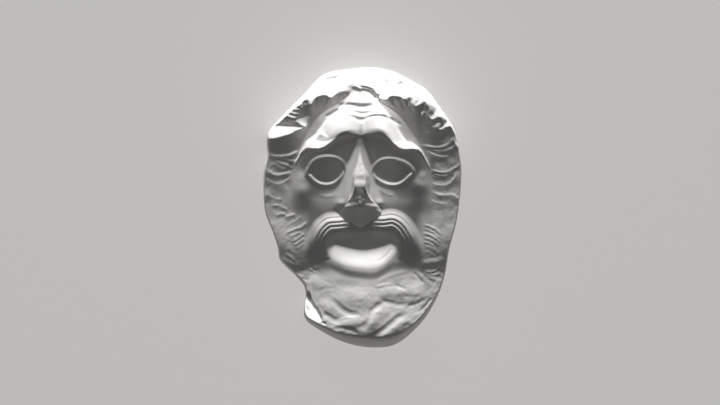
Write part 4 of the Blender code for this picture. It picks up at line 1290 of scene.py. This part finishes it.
@dataclass(frozen=True)
class Marble:
    """Pale, fine-grained marble with faint clouds and a matt weathered skin."""

    name: str = "weathered_marble"
    pale: tuple[float, float, float, float] = (0.66, 0.652, 0.636, 1.0)
    grey: tuple[float, float, float, float] = (0.585, 0.58, 0.57, 1.0)
    cloud_scale: float = 22.0
    cloud_detail: float = 5.0
    cloud_start: float = 0.35
    cloud_end: float = 0.62
    grain_scale: float = 900.0
    grain_detail: float = 3.0
    grain_bump: float = 0.06
    roughness: float = 0.72
    shine: float = 0.25

    @staticmethod
    def group(name: str, given: tuple[tuple[str, str], ...], made: tuple[str, str]) -> bpy.types.NodeTree:
        """Starts a shader node group with named sockets.

        Args:
            name: the group's name.
            given: the name and the kind of each input.
            made: the name and the kind of its output.

        Returns:
            The group, with its input and output nodes in place.
        """
        group = bpy.data.node_groups.new(name, "ShaderNodeTree")
        for socket, kind in given:
            group.interface.new_socket(name=socket, in_out="INPUT", socket_type=kind)
        group.interface.new_socket(name=made[0], in_out="OUTPUT", socket_type=made[1])
        group.nodes.new("NodeGroupInput")
        group.nodes.new("NodeGroupOutput")
        return group

    @staticmethod
    def noise(group: bpy.types.NodeTree, detail: float) -> bpy.types.NodeSocket:
        """Adds a noise over the object's own coordinates, scaled by the group's Scale.

        Args:
            group: the group that holds it.
            detail: how many finer layers it has.

        Returns:
            The noise's value.
        """
        place = group.nodes.new("ShaderNodeTexCoord")
        field_of_noise = group.nodes.new("ShaderNodeTexNoise")
        field_of_noise.inputs["Detail"].default_value = detail
        group.links.new(place.outputs["Object"], field_of_noise.inputs["Vector"])
        group.links.new(group.nodes["Group Input"].outputs["Scale"], field_of_noise.inputs["Scale"])
        return field_of_noise.outputs["Fac"]

    def clouds(self) -> bpy.types.NodeTree:
        """Builds the faint clouds: Scale, Pale and Grey give Color.

        Returns:
            The node group.
        """
        sockets = (("Scale", "NodeSocketFloat"), ("Pale", "NodeSocketColor"), ("Grey", "NodeSocketColor"))
        group = self.group("marble_clouds", sockets, ("Color", "NodeSocketColor"))
        given = group.nodes["Group Input"]
        spread = group.nodes.new("ShaderNodeMapRange")
        spread.inputs["From Min"].default_value = self.cloud_start
        spread.inputs["From Max"].default_value = self.cloud_end
        group.links.new(self.noise(group, self.cloud_detail), spread.inputs["Value"])
        mix = group.nodes.new("ShaderNodeMix")
        mix.data_type = "RGBA"
        group.links.new(spread.outputs["Result"], mix.inputs["Factor"])
        group.links.new(given.outputs["Grey"], mix.inputs["A"])
        group.links.new(given.outputs["Pale"], mix.inputs["B"])
        group.links.new(mix.outputs["Result"], group.nodes["Group Output"].inputs["Color"])
        return group

    def grain(self) -> bpy.types.NodeTree:
        """Builds the fine grain of the weathered skin: Scale gives Height.

        Returns:
            The node group.
        """
        group = self.group("marble_grain", (("Scale", "NodeSocketFloat"),), ("Height", "NodeSocketFloat"))
        height = self.noise(group, self.grain_detail)
        group.links.new(height, group.nodes["Group Output"].inputs["Height"])
        return group

    def material(self) -> bpy.types.Material:
        """Builds the material.

        Returns:
            The marble.
        """
        material = bpy.data.materials.new(self.name)
        material.use_nodes = True
        tree = material.node_tree
        shader = tree.nodes["Principled BSDF"]
        clouds = tree.nodes.new("ShaderNodeGroup")
        clouds.node_tree = self.clouds()
        clouds.inputs["Scale"].default_value = self.cloud_scale
        clouds.inputs["Pale"].default_value = self.pale
        clouds.inputs["Grey"].default_value = self.grey
        tree.links.new(clouds.outputs["Color"], shader.inputs["Base Color"])
        grain = tree.nodes.new("ShaderNodeGroup")
        grain.node_tree = self.grain()
        grain.inputs["Scale"].default_value = self.grain_scale
        bump = tree.nodes.new("ShaderNodeBump")
        bump.inputs["Strength"].default_value = self.grain_bump
        bump.inputs["Distance"].default_value = MM
        tree.links.new(grain.outputs["Height"], bump.inputs["Height"])
        tree.links.new(bump.outputs["Normal"], shader.inputs["Normal"])
        shader.inputs["Roughness"].default_value = self.roughness
        shader.inputs["Specular IOR Level"].default_value = self.shine
        return material


@dataclass
class Studio:
    """The plain pale floor, the soft light from above the head and the camera that looks straight down."""

    floor_half: float = 3.0
    floor_colour: tuple[float, float, float, float] = (0.32, 0.316, 0.31, 1.0)
    floor_light: tuple[float, float, float, float] = (1.0, 0.985, 0.96, 1.0)
    floor_glow: float = 0.42
    floor_roughness: float = 0.9
    camera_lens: float = 300.0
    camera_height: float = 6.045
    camera_middle: Point = (-2.5, 5.0)
    rake_angle: float = 3.2
    rake_strength: float = 8.3
    rake_softness: float = 12.0
    ambient: float = 0.068
    overhead_power: float = 1.65
    overhead_size: float = 1.2
    overhead_place: tuple[float, float, float] = (-0.2, 0.9, 1.5)
    overhead_aim: tuple[float, float, float] = (0.0, 0.0, 0.05)

    def floor(self) -> bpy.types.Object:
        """Lays the floor.

        Returns:
            The floor.
        """
        sheet = bmesh.new()
        bmesh.ops.create_grid(sheet, x_segments=1, y_segments=1, size=self.floor_half)
        mesh = bpy.data.meshes.new("studio_floor")
        sheet.to_mesh(mesh)
        sheet.free()
        material = bpy.data.materials.new("floor_paper")
        material.use_nodes = True
        shader = material.node_tree.nodes["Principled BSDF"]
        shader.inputs["Base Color"].default_value = self.floor_colour
        shader.inputs["Roughness"].default_value = self.floor_roughness
        shader.inputs["Emission Color"].default_value = self.floor_light
        shader.inputs["Emission Strength"].default_value = self.floor_glow
        mesh.materials.append(material)
        return stand("studio_floor", mesh)

    def camera(self) -> None:
        """Hangs the camera over the face, its top towards the hair."""
        lens = bpy.data.cameras.new("overhead_camera")
        lens.lens = self.camera_lens
        camera = stand("overhead_camera", lens)
        camera.location = (self.camera_middle[0] * MM, self.camera_middle[1] * MM, self.camera_height)
        bpy.context.scene.camera = camera

    def lights(self) -> None:
        """Sets the low light that rakes down the face, the overhead light and the room's own light."""
        rake = bpy.data.lights.new("raking_light", "SUN")
        rake.energy = self.rake_strength
        rake.angle = math.radians(self.rake_softness)
        rake.use_shadow = False
        rake_stand = stand("raking_light", rake)
        rake_stand.rotation_euler = (math.radians(-(90.0 - self.rake_angle)), 0.0, 0.0)
        overhead = bpy.data.lights.new("overhead_light", "AREA")
        overhead.energy = self.overhead_power
        overhead.size = self.overhead_size
        overhead_stand = stand("overhead_light", overhead)
        overhead_stand.location = self.overhead_place
        aim = Vector(self.overhead_aim) - overhead_stand.location
        overhead_stand.rotation_euler = aim.to_track_quat("-Z", "Y").to_euler()
        world = bpy.data.worlds.new("studio_room")
        world.use_nodes = True
        room = world.node_tree.nodes["Background"]
        room.inputs["Color"].default_value = (1.0, 1.0, 1.0, 1.0)
        room.inputs["Strength"].default_value = self.ambient
        bpy.context.scene.world = world

    def colours(self) -> None:
        """Shows the light as it is, with no film curve."""
        bpy.context.scene.view_settings.view_transform = "Standard"
        bpy.context.scene.view_settings.look = "None"


def main() -> None:
    """Builds the mask, dresses it and sets the studio."""
    logging.basicConfig(level=logging.INFO, format="%(name)s: %(message)s")
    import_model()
    mask = TheatreMask().build(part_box("theatre_mask"))
    mask.data.materials.append(Marble().material())
    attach(mask, "root")
    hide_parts("theatre_mask")
    log.info("%s: %d triangles", mask.name, len(mask.data.polygons))
    studio = Studio()
    studio.floor()
    studio.camera()
    studio.lights()
    studio.colours()
    log.info("sizes written")


if __name__ == "__main__":
    main()
